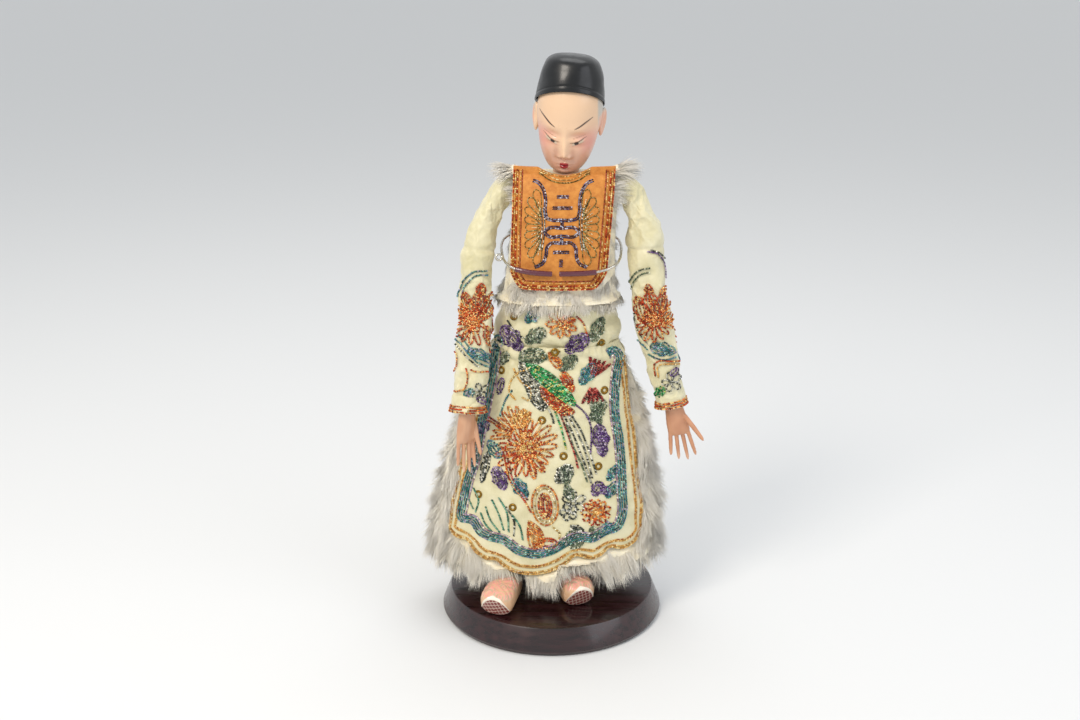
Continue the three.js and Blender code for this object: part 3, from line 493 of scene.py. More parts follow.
TRUNK = spline([  # height, half width, half depth
    [134.9, 30.6, 19.6], [139, 31.4, 20.2], [147, 28.6, 18.8], [160, 25.8, 17.4], [176, 24.2, 16.4],
    [192, 23.6, 15.4], [204, 23.4, 14.2], [211, 22.6, 12.4], [215.4, 20.4, 9.6], [217.6, 16, 5.6],
], 200)
TRUNK_SQUARENESS = 2.5


def lean(z):
    """How far the figure's middle stands to its left at a height."""
    return -5.4 + 0.0563 * z


def bell_point(angle, z, out=0.0):
    """Points on the skirt in millimetres. Angle 0 faces the viewer; z is above the soles."""
    wide = np.interp(z, SKIRT[:, 0], SKIRT[:, 1]) + out
    deep = np.interp(z, SKIRT[:, 0], SKIRT[:, 2]) + out
    return np.stack([lean(z) + wide * np.sin(angle), -deep * np.cos(angle), SOLE_HEIGHT + z], axis=-1)


def front_hem(degrees):
    notches = sum(NOTCH * hump(degrees - place, NOTCH_WIDTH) for place in NOTCHES)
    return np.interp(degrees, FRONT_HEM[:, 0], FRONT_HEM[:, 1]) + notches


def back_hem(degrees):
    return BACK_HEM - BACK_HEM_DROP * np.cos(np.radians(degrees)) ** 2


print("skirt width at the hem in mm:", round(2 * SKIRT[1, 1], 1))

# %% [markdown]
# ## Silk panels
# The front panel is a lined sheet with a scalloped hem. It starts as a flat grid. Each point goes to its
# place on the bell, and folds are added that are deepest near the waist, where the body bends the cloth.

# %% Folds and the skirt panels
def folds(x, z, seed, size, amount):
    """Slow random waves, size and amount in millimetres, for cloth that has been worn."""
    wave = np.random.default_rng(seed)
    total = np.zeros_like(x)
    for _ in range(9):
        direction, phase = wave.uniform(0, math.pi), wave.uniform(0, 2 * math.pi)
        length = size * wave.uniform(0.7, 1.8)
        over = x * math.cos(direction) + z * math.sin(direction)
        bend = 1.5 * np.sin((x * math.sin(direction) - z * math.cos(direction)) / (size * 1.7) + phase)
        ridge = 1 - np.abs(np.sin(math.pi * over / length + phase + bend))
        total += (ridge**2 - 0.4) * wave.uniform(0.4, 1)
    return total * amount / 3


PANEL_HALF_ANGLE = 63
CREASE_HEIGHT = 128.0  # a pinched crease crosses the panel under the fur of the chest
SLANT_BELOW = 14  # a second crease, at the figure's right, slants down to this far under the first
DEEPEST = -1.2  # folds sink no deeper, so that the silk stays outside the fur's hide


def hang_panel(name, facing, hem, across, down, seed):
    """A grid laid on the bell between its side edges, from the waist to a hem."""
    mesh = flat_grid(name, across, down)
    flat = points_of(mesh) * MM
    u, v = flat[:, 0], (flat[:, 1] + 1) / 2
    waist = SKIRT[-1, 0]
    z = hem(u * PANEL_HALF_ANGLE) * (1 - v) + waist * v
    degrees = u * np.interp(z, SIDE_EDGE[:, 0], SIDE_EDGE[:, 1])
    angle = np.radians(degrees) if facing > 0 else math.pi - np.radians(degrees)
    x = degrees * 0.75
    wrinkle = folds(x, z, seed, 21, 2.1) * (0.25 + 0.75 * step(20, 85, z)) + folds(x, z, seed + 1, 8, 0.4)
    wrinkle = np.maximum(wrinkle, -0.8)
    puckers = 0.3 * np.sin(degrees * 0.9 + 3 * np.sin(z / 9)) * step(8, 0, waist - z)
    curl = 0.5 * step(0.9, 1, np.abs(u)) * np.sin(z / 6)
    below = z - CREASE_HEIGHT - 2.2 * np.sin(x / 11 + 0.6) + 0.05 * x
    crease = 1.1 * hump(below - 3.2, 2.6) - 1.4 * hump(below, 1.4)
    below = z - CREASE_HEIGHT + SLANT_BELOW + 0.42 * x
    crease += (0.8 * hump(below - 2.5, 2.4) - 0.9 * hump(below, 1.4)) * step(14, -24, x)
    pleat = np.sin(degrees * 0.16 + 0.7 * np.sin(z / 23)) * np.abs(np.sin(degrees * 0.16))
    crease += 1.1 * pleat * step(30, 100, z) * step(-5, -38, x)
    out = np.maximum(wrinkle + crease, DEEPEST) + puckers + curl - SILK_THICKNESS / 2
    move_points(mesh, bell_point(angle, z, out))
    if facing < 0:
        mesh.flip_normals()
    return mesh


def walled(made, thickness):
    wall = made.modifiers.new("lined", "SOLIDIFY")
    wall.thickness = thickness * MM
    wall.offset = 0


front_mesh = hang_panel("silk_front_panel", 1, front_hem, 170, 120, 5)
front_panel = piece("silk_front_panel", front_mesh, silk, replaces=["skirt_front"])
back_mesh = hang_panel("silk_back_panel", -1, back_hem, 110, 90, 8)
back_skirt = piece("silk_back_panel", back_mesh, silk, replaces=["skirt_back"])
walled(front_panel, 0.8)
walled(back_skirt, 0.8)


def area_of(mesh):
    return sum(polygon.area for polygon in mesh.polygons)


print("panel areas in square metres:", round(area_of(front_mesh), 5), round(area_of(back_mesh), 5))

# %% [markdown]
# ## Stuffed body and sleeves
# The body and the sleeves are silk sewn over a stuffed form. Each sleeve is a bent tube whose cuff is
# turned in, so that the wrist comes out of a hollow. Its seam at the elbow is pressed in, and small creases
# gather round it. The cloth solver then lets each skin buckle a little under pressure, with its ends held.

# %% Body and sleeves
def trunk_point(angle, z, out=0.0):
    """Points on the trunk in millimetres, on a squarish oval."""
    wide = np.interp(z, TRUNK[:, 0], TRUNK[:, 1]) + out
    deep = np.interp(z, TRUNK[:, 0], TRUNK[:, 2]) + out
    power = 2 / TRUNK_SQUARENESS
    x = wide * squared(np.sin(angle), power)
    y = -deep * squared(np.cos(angle), power)
    return np.stack([lean(z) + x, y, SOLE_HEIGHT + z], axis=-1)


BODY_FOOT, BODY_TOP = 131, 217.6
PRESSURE = 4.0
SETTLING_FRAMES = 18


def body_shape(angle, share):
    z = BODY_FOOT + (BODY_TOP - BODY_FOOT) * np.clip((share - 0.06) / 0.86, 0, 1)
    out = folds(angle * 26, z, 31, 12, 1.1) - 1.5 * step(BODY_FOOT + 6, BODY_FOOT, z)
    points = trunk_point(angle, z, out)
    closing = np.minimum(step(0, 0.06, share), step(1, 0.92, share))[:, None]
    centre = np.stack([lean(z), np.zeros_like(z), SOLE_HEIGHT + z], axis=-1)
    return centre + (points - centre) * closing


def settle(mesh, held, cap, grow):
    """Lets a stuffed skin buckle. held marks points that stay; cap limits the others, in millimetres."""
    start = points_of(mesh)
    trial = bpy.data.objects.new("trial", mesh.copy())
    bpy.context.scene.collection.objects.link(trial)
    pins = trial.vertex_groups.new(name="held")
    pins.add([int(i) for i in np.flatnonzero(held)], 1.0, "REPLACE")
    cloth = trial.modifiers.new("cloth", "CLOTH")
    cloth.settings.quality = 5
    cloth.settings.use_pressure = True
    cloth.settings.uniform_pressure_force = PRESSURE
    cloth.settings.shrink_min = -grow
    cloth.settings.bending_stiffness = 0.05
    cloth.settings.vertex_group_mass = "held"
    cloth.settings.effector_weights.gravity = 0
    cloth.point_cache.frame_end = SETTLING_FRAMES
    for number in range(1, SETTLING_FRAMES + 1):
        bpy.context.scene.frame_set(number)
    graph = bpy.context.evaluated_depsgraph_get()
    settled = bpy.data.meshes.new_from_object(trial.evaluated_get(graph))
    moved = points_of(settled) - start
    bpy.data.objects.remove(trial)
    bpy.context.scene.frame_set(1)
    far = np.linalg.norm(moved, axis=1)
    print(mesh.name, "moved, mean and most, in mm:", round(far.mean(), 2), round(far.max(), 2))
    move_points(mesh, start + moved * np.minimum(1, cap / np.maximum(far, 1e-6))[:, None])


body_mesh = loft("stuffed_body", 90, 70, body_shape)
heights = points_of(body_mesh)[:, 2] - SOLE_HEIGHT
settle(body_mesh, (heights < BODY_FOOT + 3) | (heights > BODY_TOP - 5.6), 1.3, 0.04)
body = piece("stuffed_body", body_mesh, silk, replaces=["robe_body"])

# Rows: x, y, height above the soles, half width, half depth.
SLEEVES = {
    "right": [
        [-17.5, 0, 213, 5, 6], [-23, -0.8, 210, 6.2, 7], [-28.2, -1.8, 203, 7, 7.8], [-32, -3.2, 195, 7.6, 8],
        [-35, -5, 186.5, 8, 7.8], [-36.2, -6.6, 178, 8, 7.6], [-37, -9.2, 165, 8.6, 7.8],
        [-38, -12.6, 150, 9, 7.8], [-38.8, -16, 136, 9.2, 7.6], [-40, -19.6, 122, 9.2, 7.4],
        [-41, -22.6, 111, 9.2, 7.4], [-41.4, -24.4, 102.4, 9.2, 7.4],
    ],
    "left": [
        [30, 0, 213, 5, 6], [35, -0.6, 210.5, 6.2, 7], [39.6, -1.2, 205, 7.2, 7.8], [42.6, -2, 196, 8.4, 8.4],
        [44.4, -3, 187, 9, 8.4], [45.4, -4, 177, 8.6, 8], [46.6, -5, 165, 9.2, 8.2],
        [49, -6.2, 149, 9.8, 8.4], [52.4, -7.4, 134, 9.4, 8], [55.8, -8.4, 120, 8.6, 7.6],
        [58.6, -9.2, 108, 8.4, 7.6], [60, -10, 100.5, 8.2, 7.6],
    ],
}
SLEEVE_SEEDS = {"right": 45, "left": 44}
SLEEVE_LENGTH = 115
ELBOW_SEAM = 0.32  # share of the sleeve's length from the shoulder
CUFF_SHARE = 0.1  # share of the skin's rows that is turned in at the cuff
CUFF_WALL = 1.1


def sleeve_shape(rows, seed):
    """The skin of one sleeve, from the turned-in cuff up to the shoulder."""
    curve = spline(rows, 240)[::-1]

    def shape(angle, share):
        inner = share < CUFF_SHARE
        along = np.where(inner, CUFF_SHARE - share, np.clip((share - CUFF_SHARE) / 0.84, 0, 1))
        section = at_share(curve, along)
        ahead = at_share(curve, np.minimum(along + 0.02, 1)) - at_share(curve, np.maximum(along - 0.02, 0))
        ahead = ahead[:, :3] / np.linalg.norm(ahead[:, :3], axis=1)[:, None]
        side = np.array([1.0, 0, 0]) - ahead * ahead[:, :1]
        side /= np.linalg.norm(side, axis=1)[:, None]
        front = np.cross(side, ahead)
        down = along * SLEEVE_LENGTH
        out = folds(angle * 9, down, seed, 14, 1.7) + folds(angle * 9, down, seed + 3, 6, 0.45)
        from_elbow = np.abs(1 - along - ELBOW_SEAM) * SLEEVE_LENGTH
        out = out - 0.8 * hump(from_elbow, 0.8) + 0.45 * hump(from_elbow - 4, 3)
        out = np.where(inner, -CUFF_WALL, out * step(0, 0.03, along))
        closing = np.minimum(step(0, 0.03, share), np.sqrt(np.clip((1 - share) / 0.06, 0, 1)))
        x = (section[:, 3] + out) * np.sin(angle) * closing
        y = (section[:, 4] + out) * np.cos(angle) * closing
        section[:, 2] += SOLE_HEIGHT
        return section[:, :3] + side * x[:, None] + front * y[:, None]

    return shape


sleeve_meshes = {}
for side, rows in SLEEVES.items():
    name = f"sleeve_{side}_silk"
    mesh = sleeve_meshes[side] = loft(name, 72, 150, sleeve_shape(rows, SLEEVE_SEEDS[side]))
    heights = points_of(mesh)[:, 2] - SOLE_HEIGHT
    settle(mesh, (heights < rows[-1][2] + 5) | (heights > rows[0][2] - 2), 1.5, 0.06)
    sleeve = piece(name, mesh, silk, replaces=[f"sleeve_{side}"])
    finer = sleeve.modifiers.new("finer", "SUBSURF")
    finer.levels = finer.render_levels = 1
    leg = piece(f"leg_{side}_cotton", soft_copy(f"leg_{side}", 0.9, 4), cotton,
                replaces=[f"leg_{side}"])
print("sleeve faces:", {side: len(mesh.polygons) for side, mesh in sleeve_meshes.items()})

# %% [markdown]
# ## The head
# The head is moulded paste on a wooden core, sanded, painted and varnished. The long oval comes from a
# table. The brow, sockets, lids, nose, lips and chin are soft bumps and hollows added to it, one row each.
# Millimetres here are in the head's own frame: x to the figure's left, z up, with the face's middle line a
# little off centre.

# %% Head and face
HEAD_FRAME = (
    Matrix.Translation(Vector((7.7, -2.6, SOLE_HEIGHT + 243.3))) @ Matrix.Rotation(math.radians(4.6), 4, "Y")
    @ Matrix.Rotation(math.radians(-3), 4, "Z") @ Matrix.Rotation(math.radians(17), 4, "X")
)
SKULL = spline([  # height, half width, reach to the front, reach to the back
    [-23.3, 0, 8.6, -8.6], [-22.6, 3.6, 11.2, -5.5], [-21, 7.6, 14.2, 0], [-17, 10.8, 15.6, 6],
    [-12, 12.9, 16, 11], [-5, 14.4, 15.8, 15.6], [3, 15.6, 16.4, 18], [11, 15, 15.4, 18],
    [16.5, 13.4, 13.2, 16.4], [21.5, 10.6, 9.6, 12.6], [25, 7, 6.6, 7.8], [26.4, 0, 0, 0],
], 600)
FACE_CROWDING = 0.42  # brings the skin's columns closer together at the front
BOTH_SIDES = [  # x, z, radius in x, radius in z, rise
    (7.2, 1.6, 4.8, 1.7, 0.5), (6.2, -2.5, 4.2, 1.7, -0.9), (6.1, -4.3, 3.8, 1.3, 1.0),
    (6.3, -7.0, 3.4, 1.1, -0.35), (9.4, -9.6, 4.0, 3.4, 0.6), (2.6, -12.4, 1.1, 1.0, 1.15),
    (4.6, -14.4, 1.0, 2.2, -0.35), (13.2, 4.5, 3.0, 5.0, -0.4), (1.25, -13.5, 0.55, 0.4, -0.6),
]
MIDDLE_LINE = [
    (0, -3.2, 1.6, 3.4, 0.8), (0, -8.2, 1.7, 3.2, 1.9), (0, -11.5, 1.8, 1.6, 2.0),
    (0, -15.0, 0.6, 0.8, -0.35), (0, -16.3, 2.3, 0.65, 0.85), (0, -18.0, 1.8, 0.75, 0.95),
    (0, -17.1, 2.5, 0.25, -0.5),
    (0, -19.5, 2.4, 0.5, -0.5), (0, -21.2, 3.0, 1.3, 0.6),
]
LID_LINE = np.array([[2.5, -5.6], [4.2, -5.25], [6.0, -4.75], [8.0, -3.95], [10.1, -2.9]])


def from_middle(x, z):
    """Distance from the face's middle line, which runs a little to the figure's right as it rises."""
    return np.abs(x + 0.3 + 0.055 * (np.clip(z, -17, 3) + 17))


def face_relief(x, z):
    across = from_middle(x, z)
    rise = np.zeros_like(x)
    for cx, cz, rx, rz, amount in BOTH_SIDES + MIDDLE_LINE:
        bump = amount * np.exp(-(((across - cx) / rx) ** 2) - ((z - cz) / rz) ** 2)
        if amount > 1 and cz < -10:
            bump *= step(-14.2, -13.1, z)
        rise += bump
    lid = np.interp(across, LID_LINE[:, 0], LID_LINE[:, 1])
    under = hump(z - lid + 0.45, 0.45) * step(2.0, 3.2, across) * step(10.4, 9, across)
    return rise - 0.35 * under


def head_shape(angle, share):
    z, wide, front, back = at_share(SKULL, share).T
    turned = angle - FACE_CROWDING * np.sin(angle)
    x = wide * np.sin(turned)
    y = -(front + back) / 2 * np.cos(turned) - (front - back) / 2
    y -= face_relief(x, z) * step(0.1, 0.55, np.cos(turned))
    return placed(np.stack([x, y, z], axis=-1), HEAD_FRAME)


def ear_shape(side):
    frame_of_ear = (
        HEAD_FRAME @ Matrix.Translation(Vector((15.9 * side, 1.4, -0.9)))
        @ Matrix.Rotation(math.radians(-24 * side), 4, "Z") @ Matrix.Rotation(math.radians(-8), 4, "X")
    )

    def shape(angle, share):
        lift = (share - 0.5) * math.pi
        x, y = 1.5 * np.cos(lift) * np.sin(angle), -3.0 * np.cos(lift) * np.cos(angle)
        z = 7.0 * np.sin(lift)
        y = y * (1 - 0.25 * step(0, -6, z))
        bowl = np.exp(-(((y + 0.2) / 1.5) ** 2) - ((z - 0.6) / 3.8) ** 2)
        x = np.where(x * side > 0, x - side * 1.5 * bowl, x)
        return placed(np.stack([x, y, z], axis=-1), frame_of_ear)

    return shape


def neck_shape(angle, share):
    z = 205 + 26 * np.clip((share - 0.08) / 0.84, 0, 1)
    radius = 6.4 * np.sqrt(np.clip(np.minimum(share, 1 - share) / 0.08, 0, 1))
    middle = 5.8 + 0.06 * (z - 207)
    return np.stack([middle + radius * np.sin(angle), 0.5 - radius * np.cos(angle), SOLE_HEIGHT + z], axis=-1)


head_mesh = joined("painted_head", [
    loft("skull", 300, 250, head_shape), loft("ear_left", 48, 40, ear_shape(1)),
    loft("ear_right", 48, 40, ear_shape(-1)), loft("neck", 48, 24, neck_shape),
])
print("head faces:", len(head_mesh.polygons))

# %% [markdown]
# The face is painted with a fine brush: a pale forehead, rouge over the eyes and cheeks, thin slanting
# brows, dark lines along half-closed lids, and a small red mouth. The lower face is darkened towards the
# chin with painted shade, and the nose has painted shade beside it and at the nostrils and a painted
# highlight down its middle. The temples are grey where the hair begins under the cap.

# %% Paint the face
def stroke(x, z, points, width):
    """How much of a tapered brush stroke, width in millimetres, covers each point."""
    path = spline(points, 40)
    reach = np.hypot(x[:, None] - path[:, 0], z[:, None] - path[:, 1])
    nearest = np.argmin(reach, axis=1)
    taper = width / 2 * (0.25 + 0.75 * np.sin(math.pi * np.clip(nearest / 39, 0.02, 0.98)) ** 0.6)
    return step(0.09, -0.09, reach[np.arange(len(x)), nearest] - taper)


def spot(x, z, cx, cz, rx, rz):
    """A soft round patch."""
    return np.exp(-(((x - cx) / rx) ** 2) - ((z - cz) / rz) ** 2)


BROW = [(4.6, 1.9), (7.0, 3.1), (9.8, 4.9), (12.6, 6.4)]
LID_FOLD = [(3.6, -3.4), (6.6, -2.7), (10, -1.4)]
# Rouge, with painted light among it: the first patch is painted shade beside the nose, the fifth a painted
# highlight down the nose, and the last painted shade at the nostrils.
FACE_ROUGE_AND_PAINTED_LIGHT = [  # colour, strength, x and z of the middle, half width, half height
    ("#a8705a", 0.45, 3.9, -10.5, 1.3, 3.2), ("#d5887f", 0.75, 11.5, -6, 5.0, 6.5),
    ("#d99085", 0.35, 7.0, -1.8, 5.0, 1.9), ("#c9836c", 0.5, 6.4, -6.9, 3.4, 0.8),
    ("#f3cda6", 0.6, 0, -7, 1.8, 6), ("#c77e63", 0.6, 1.2, -13.7, 1.2, 0.5),
]
fx, fy, fz = placed(points_of(head_mesh), HEAD_FRAME.inverted()).T
across, facing = from_middle(fx, fz), step(-1, -5, fy)
skin_tone = np.tile(np.array(linear("#e3bf9c")[:3]), (len(fx), 1))
# Painted shade: the lower face is darkened towards the chin.
skin_tone = blend(skin_tone, "#bb8874", 0.8 * step(-2, -18, fz))
for colour, strength, *patch in FACE_ROUGE_AND_PAINTED_LIGHT:
    skin_tone = blend(skin_tone, colour, strength * spot(across, fz, *patch) * facing)
hair = step(14.3, 15.2, across + 0.10 * (fz - 8)) * step(-2.5, 1, fz) * step(9, 4, fy)
hair = np.maximum(hair, step(3, 6, fy) * step(-13, -9, fz))
ear_zone = step(15.2, 16, across) * step(-10, -8, fz) * step(6, 3.4, fz)
skin_tone = blend(skin_tone, "#b9b5ab", 0.9 * hair * (1 - ear_zone))
skin_tone = blend(skin_tone, "#d79a8a", 0.6 * ear_zone)
skin_tone = blend(skin_tone, "#3a2620", stroke(across, fz, BROW, 0.8) * facing)
skin_tone = blend(skin_tone, "#8a5340", 0.7 * stroke(across, fz, LID_FOLD, 0.3) * facing)
eye_line = np.interp(across, LID_LINE[:, 0], LID_LINE[:, 1])
open_eye = step(1.7, 1.45, (eye_line - fz)) * step(-0.05, 0.1, eye_line - fz)
open_eye = open_eye * step(3.2, 4.2, across) * step(9.3, 8.2, across) * facing
skin_tone = blend(skin_tone, "#c8b49b", open_eye)
iris = step(1.2, 0.95, np.hypot(across - 5.6, (fz + 5.5))) * np.maximum(open_eye, 0.6)
skin_tone = blend(skin_tone, "#120c0a", iris)
skin_tone = blend(skin_tone, "#4a2a1e", stroke(across, fz, LID_LINE, 0.5) * facing)
skin_tone = blend(skin_tone, "#9a5f4c", 0.6 * stroke(across, fz, LID_LINE + [0, -1.65], 0.3) * facing)
mouth_x = np.abs(fx + 0.3)
lip_top = -15.45 - 0.22 * mouth_x - 0.35 * hump(mouth_x, 0.5)
lip_foot = -19.4 + 0.42 * mouth_x**2
mouth = step(-0.1, 0.12, lip_top - fz) * step(-0.1, 0.12, fz - lip_foot) * step(2.15, 1.85, mouth_x) * facing
skin_tone = blend(skin_tone, "#930510", mouth)
skin_tone = blend(skin_tone, "#5c0a10", 0.8 * mouth * spot(mouth_x, fz, 0, -17.1, 2.2, 0.16))
paint_points(head_mesh, skin_tone)
piece("painted_head", head_mesh, painted, replaces=["head"])
print("face painted")

# %% [markdown]
# ## Cap
# The cap is a moulded shell under black lacquer. A crease runs round it just above the rim, and the rim is
# high over the forehead and low behind.

# %% Cap
CAP_FRAME = Matrix.Translation(Vector((8.0, -3.2, SOLE_HEIGHT + 251.4))) @ Matrix.Rotation(
    math.radians(4.6), 4, "Y")
CAP_SIDE = spline([  # height, radius
    [-12, 16.9], [0, 16.5], [8, 15.5], [15.3, 13.9], [19, 12.1], [21.1, 8.8], [21.9, 4.5], [22, 0],
], 400)
CAP_DEPTH = 1.14
RIM_FRONT, RIM_SIDE, RIM_BACK = 6.1, -0.6, -6.0
RIM_CREASE = 2.6


def cap_shape(angle, share):
    forward = np.cos(angle)
    rim = np.where(forward > 0, RIM_SIDE + (RIM_FRONT - RIM_SIDE) * forward,
                   RIM_SIDE + (RIM_SIDE - RIM_BACK) * forward)
    start = np.interp(rim, CAP_SIDE[:380, 0], np.linspace(0, 379 / 399, 380))
    outer = np.clip((share - 0.2) / 0.8, 0, 1)
    z, radius = at_share(CAP_SIDE, start + (1 - start) * outer).T
    inner = share < 0.2
    turned_in = share / 0.2
    radius = np.where(inner, (radius - 0.9 * (1 - turned_in**6)) * step(0, 0.5, turned_in), radius)
    z = np.where(inner, rim + 2.5 * (1 - turned_in**3), z)
    from_crease = z - rim - RIM_CREASE
    crease = 0.12 * step(0.4, 0, from_crease) - 0.3 * hump(from_crease, 0.35)
    dents = 0.16 * np.sin(3 * angle + z / 3.1) + 0.1 * np.sin(5 * angle - z / 2.3 + 1)
    radius = radius + np.where(inner, 0, crease + dents) * step(0, 6, radius)
    points = np.stack([radius * np.sin(angle), -radius * CAP_DEPTH * np.cos(angle), z], axis=-1)
    return placed(points, CAP_FRAME)


cap = piece("lacquered_cap", loft("lacquered_cap", 160, 120, cap_shape), cap_lacquer,
            replaces=["cap"])
print("cap faces:", len(cap.data.polygons))

# %% [markdown]
# ## Hands and shoes
# The hands are softened copies of their solids under the same varnished paint, with painted shade in soft
# bands across them; the left hand's paint is a little darker, and that is painted shade too. The shoes are
# paste too. Each has a cream upper with coral scrolls, a white welt, and a dark red sole that turns up in
# front and is scored crosswise.

# %% Hands
# The left hand's darker tone is painted shade; both hands carry the same paint.
for side, tone in (("right", "#cf9f7c"), ("left", "#c68f6c")):
    hand_mesh = soft_copy(f"hand_{side}", 0.36, 5)
    spots = points_of(hand_mesh)
    # Painted shade in soft bands across the hand.
    painted_shade_bands = 0.5 + 0.5 * np.sin(spots[:, 0] * 0.9 + 1.3 * np.sin(spots[:, 2] * 0.5))
    colour = np.tile(np.array(linear(tone)[:3]), (len(spots), 1))
    colour = blend(colour, "#a86c4c", 0.3 * painted_shade_bands)
    lowest = spots[:, 2].min()
    colour = blend(colour, "#e9c0a4", 0.6 * step(lowest + 6, lowest, spots[:, 2]))
    paint_points(hand_mesh, colour)
    piece(f"painted_hand_{side}", hand_mesh, painted, replaces=[f"hand_{side}"])
print("hands done")

# %% Shoes
SHOE = spline([  # y, half width, low, high; the toe comes last
    [15.4, 0, 5, 5.4], [14.8, 3, 2.4, 8], [13, 5.4, 0.6, 13], [8, 6.6, 0, 15.6], [1, 7.4, 0, 16],
    [-5, 8.1, 0, 15.6], [-9.5, 8.4, 0, 15], [-12, 8.2, 0.5, 14.2], [-13.6, 7.4, 3.2, 13.4],
    [-15, 6.2, 6.2, 12.4], [-16, 3.6, 8.6, 11.4], [-16.5, 0, 9.9, 10.2],
], 400)
ARCH_HALF_WIDTH, ARCH_HEIGHT, WELT_WIDTH = 7.8, 11.6, 0.95
SOLE_SCORE = 1.9  # millimetres between the scored lines
FEET = {"right": (-24.4, -28.8, -18), "left": (9.6, -18.6, 20)}  # x, y, and how far the toe turns, in degrees


def shoe_local(angle, share):
    y, wide, low, high = at_share(SHOE, share).T
    x = wide * squared(np.sin(angle), 0.8)
    z = (low + high) / 2 + (high - low) / 2 * squared(np.cos(angle), 0.8)
    return x, y, np.maximum(z, 0.05)


def arch_distance(x, z):
    """Distance inside the welt's arch on the front of the shoe, positive under it."""
    return ARCH_HEIGHT * np.sqrt(np.clip(1 - (x / ARCH_HALF_WIDTH) ** 2, 0, 1)) - z


shoe_meshes, FOOT_FRAMES = {}, {}
for side, (foot_x, foot_y, turned) in FEET.items():
    turn = Matrix.Rotation(math.radians(turned), 4, "Z")
    foot_frame = Matrix.Translation((foot_x, foot_y, SOLE_HEIGHT)) @ turn
    FOOT_FRAMES[side] = foot_frame

    def shoe_shape(angle, share):
        x, y, z = shoe_local(angle, share)
        under = arch_distance(x, z)
        toe = step(-7, -11, y)
        welt = 0.5 * hump(under, WELT_WIDTH) * toe
        scroll = 0.22 * np.sin(x * 1.3 + 2 * np.sin(y * 0.6)) * np.sin(y * 1.1) * step(9, 12, z)
        out = welt + scroll
        ahead = y - out * 0.8 * step(-8, -14, y)
        return placed(np.stack([x * (1 + out / 12), ahead, z + scroll + welt * 0.5], axis=-1), foot_frame)

    shoe_mesh = shoe_meshes[side] = loft(f"painted_shoe_{side}", 180, 150, shoe_shape)
    sx, sy, sz = placed(points_of(shoe_mesh), foot_frame.inverted()).T
    colour = np.tile(np.array(linear("#dab089")[:3]), (len(sx), 1))
    swirl = np.sin(sx * 1.1 + 2.2 * np.sin(sy * 0.55 + sz * 0.3)) * np.sin(sy * 0.9 + 1.7 * np.sin(sx * 0.6))
    cloud = np.sin(sy * 0.8 + 2 * np.sin(sx * 0.5))
    colour = blend(colour, "#a9a58a", 0.5 * step(0.1, 0.6, cloud) * step(9, 11, sz))
    curl = np.abs(np.sin(np.hypot(sx % 6 - 3, (sy + 1.5 * np.floor(sx / 6)) % 6 - 3) * 2.1))
    scrolls = np.maximum(step(0.72, 0.9, curl), step(0.3, 0.6, swirl))
    colour = blend(colour, "#eba291", scrolls * step(9.5, 12, sz))
    colour = blend(colour, "#b98a66", 0.5 * step(7, 2, sz))
    under, toe = arch_distance(sx, sz), step(-9, -11, sy)
    hatch = np.maximum(
        step(0.2, 0.08, np.abs((sx + sz * 0.3 + 40) % SOLE_SCORE - SOLE_SCORE / 2)),
        step(0.2, 0.08, np.abs((sz * 0.9 - sx * 0.25 + 40) % SOLE_SCORE - SOLE_SCORE / 2)))
    patch = step(0.5, 1.0, under) * toe
    patch = np.maximum(patch, step(0.6, 0.2, sz))
    colour = blend(colour, "#7a2a22", patch)
    colour = blend(colour, "#e6d3c2", 0.9 * patch * hatch * toe)
    colour = blend(colour, "#f4ead9", step(1.0, 0.7, np.abs(under)) * toe)
    paint_points(shoe_mesh, colour)
    piece(f"painted_shoe_{side}", shoe_mesh, painted, replaces=[f"shoe_{side}"])
print("shoes done")

# %% [markdown]
# ## Chest and back panels
# Each panel is stiff orange cloth with rounded lower corners and a dip for the neck. It lies over the fur
# vest.

# %% Chest and back panels
CHEST_LOW, CHEST_HIGH, CHEST_SHIFT = 164.0, 221.4, -1.4
CHEST_HALF, CHEST_FLARE, CHEST_CORNER = 22.8, 1.4, 7.5
BACK_PANEL_HIGH = 216.0
NECK_HALF, NECK_DROP = 12.0, 4.0
CHEST_INNER, CHEST_CLOTH = 3.8, 1.4
CHEST_OUTER = CHEST_INNER + CHEST_CLOTH


def chest_high(facing):
    return CHEST_HIGH if facing > 0 else BACK_PANEL_HIGH


def chest_half(z):
    """Half the panel's width at a height."""
    return CHEST_HALF + CHEST_FLARE * (z - CHEST_LOW) / (CHEST_HIGH - CHEST_LOW)


def neck_dip(across, facing):
    """How far the top edge dips for the neck, half as far behind."""
    return NECK_DROP * np.clip(1 - (across * CHEST_HALF / NECK_HALF) ** 2, 0, 1) * (1 if facing > 0 else 0.5)


def chest_low(across):
    return CHEST_LOW + CHEST_CORNER * (np.clip(np.abs(across) - 0.72, 0, 1) / 0.28) ** 2


def chest_point(across, z, out, facing=1):
    """Points of the panel. across is -1 to 1; out is measured from the trunk."""
    x = across * chest_half(z) + CHEST_SHIFT
    reach = np.interp(z, TRUNK[:, 0], TRUNK[:, 2]) + out
    wide = np.interp(np.minimum(z, 204), TRUNK[:, 0], TRUNK[:, 1]) + CHEST_INNER + 3
    y = reach * (1 - np.abs(x / wide) ** TRUNK_SQUARENESS) ** (1 / TRUNK_SQUARENESS)
    return np.stack([lean(z) + x, -facing * y, SOLE_HEIGHT + z], axis=-1)


def chest_panel(name, facing, seed):
    mesh = flat_grid(name, 70, 90)
    u, v, _ = (points_of(mesh) * MM).T
    low = chest_low(u)
    z = low + (chest_high(facing) - neck_dip(u, facing) - low) * (v + 1) / 2
    out = CHEST_INNER + CHEST_CLOTH / 2 + folds(u * 22, z, seed, 16, 0.35)
    move_points(mesh, chest_point(u, z, out, facing))
    if facing < 0:
        mesh.flip_normals()
    return mesh


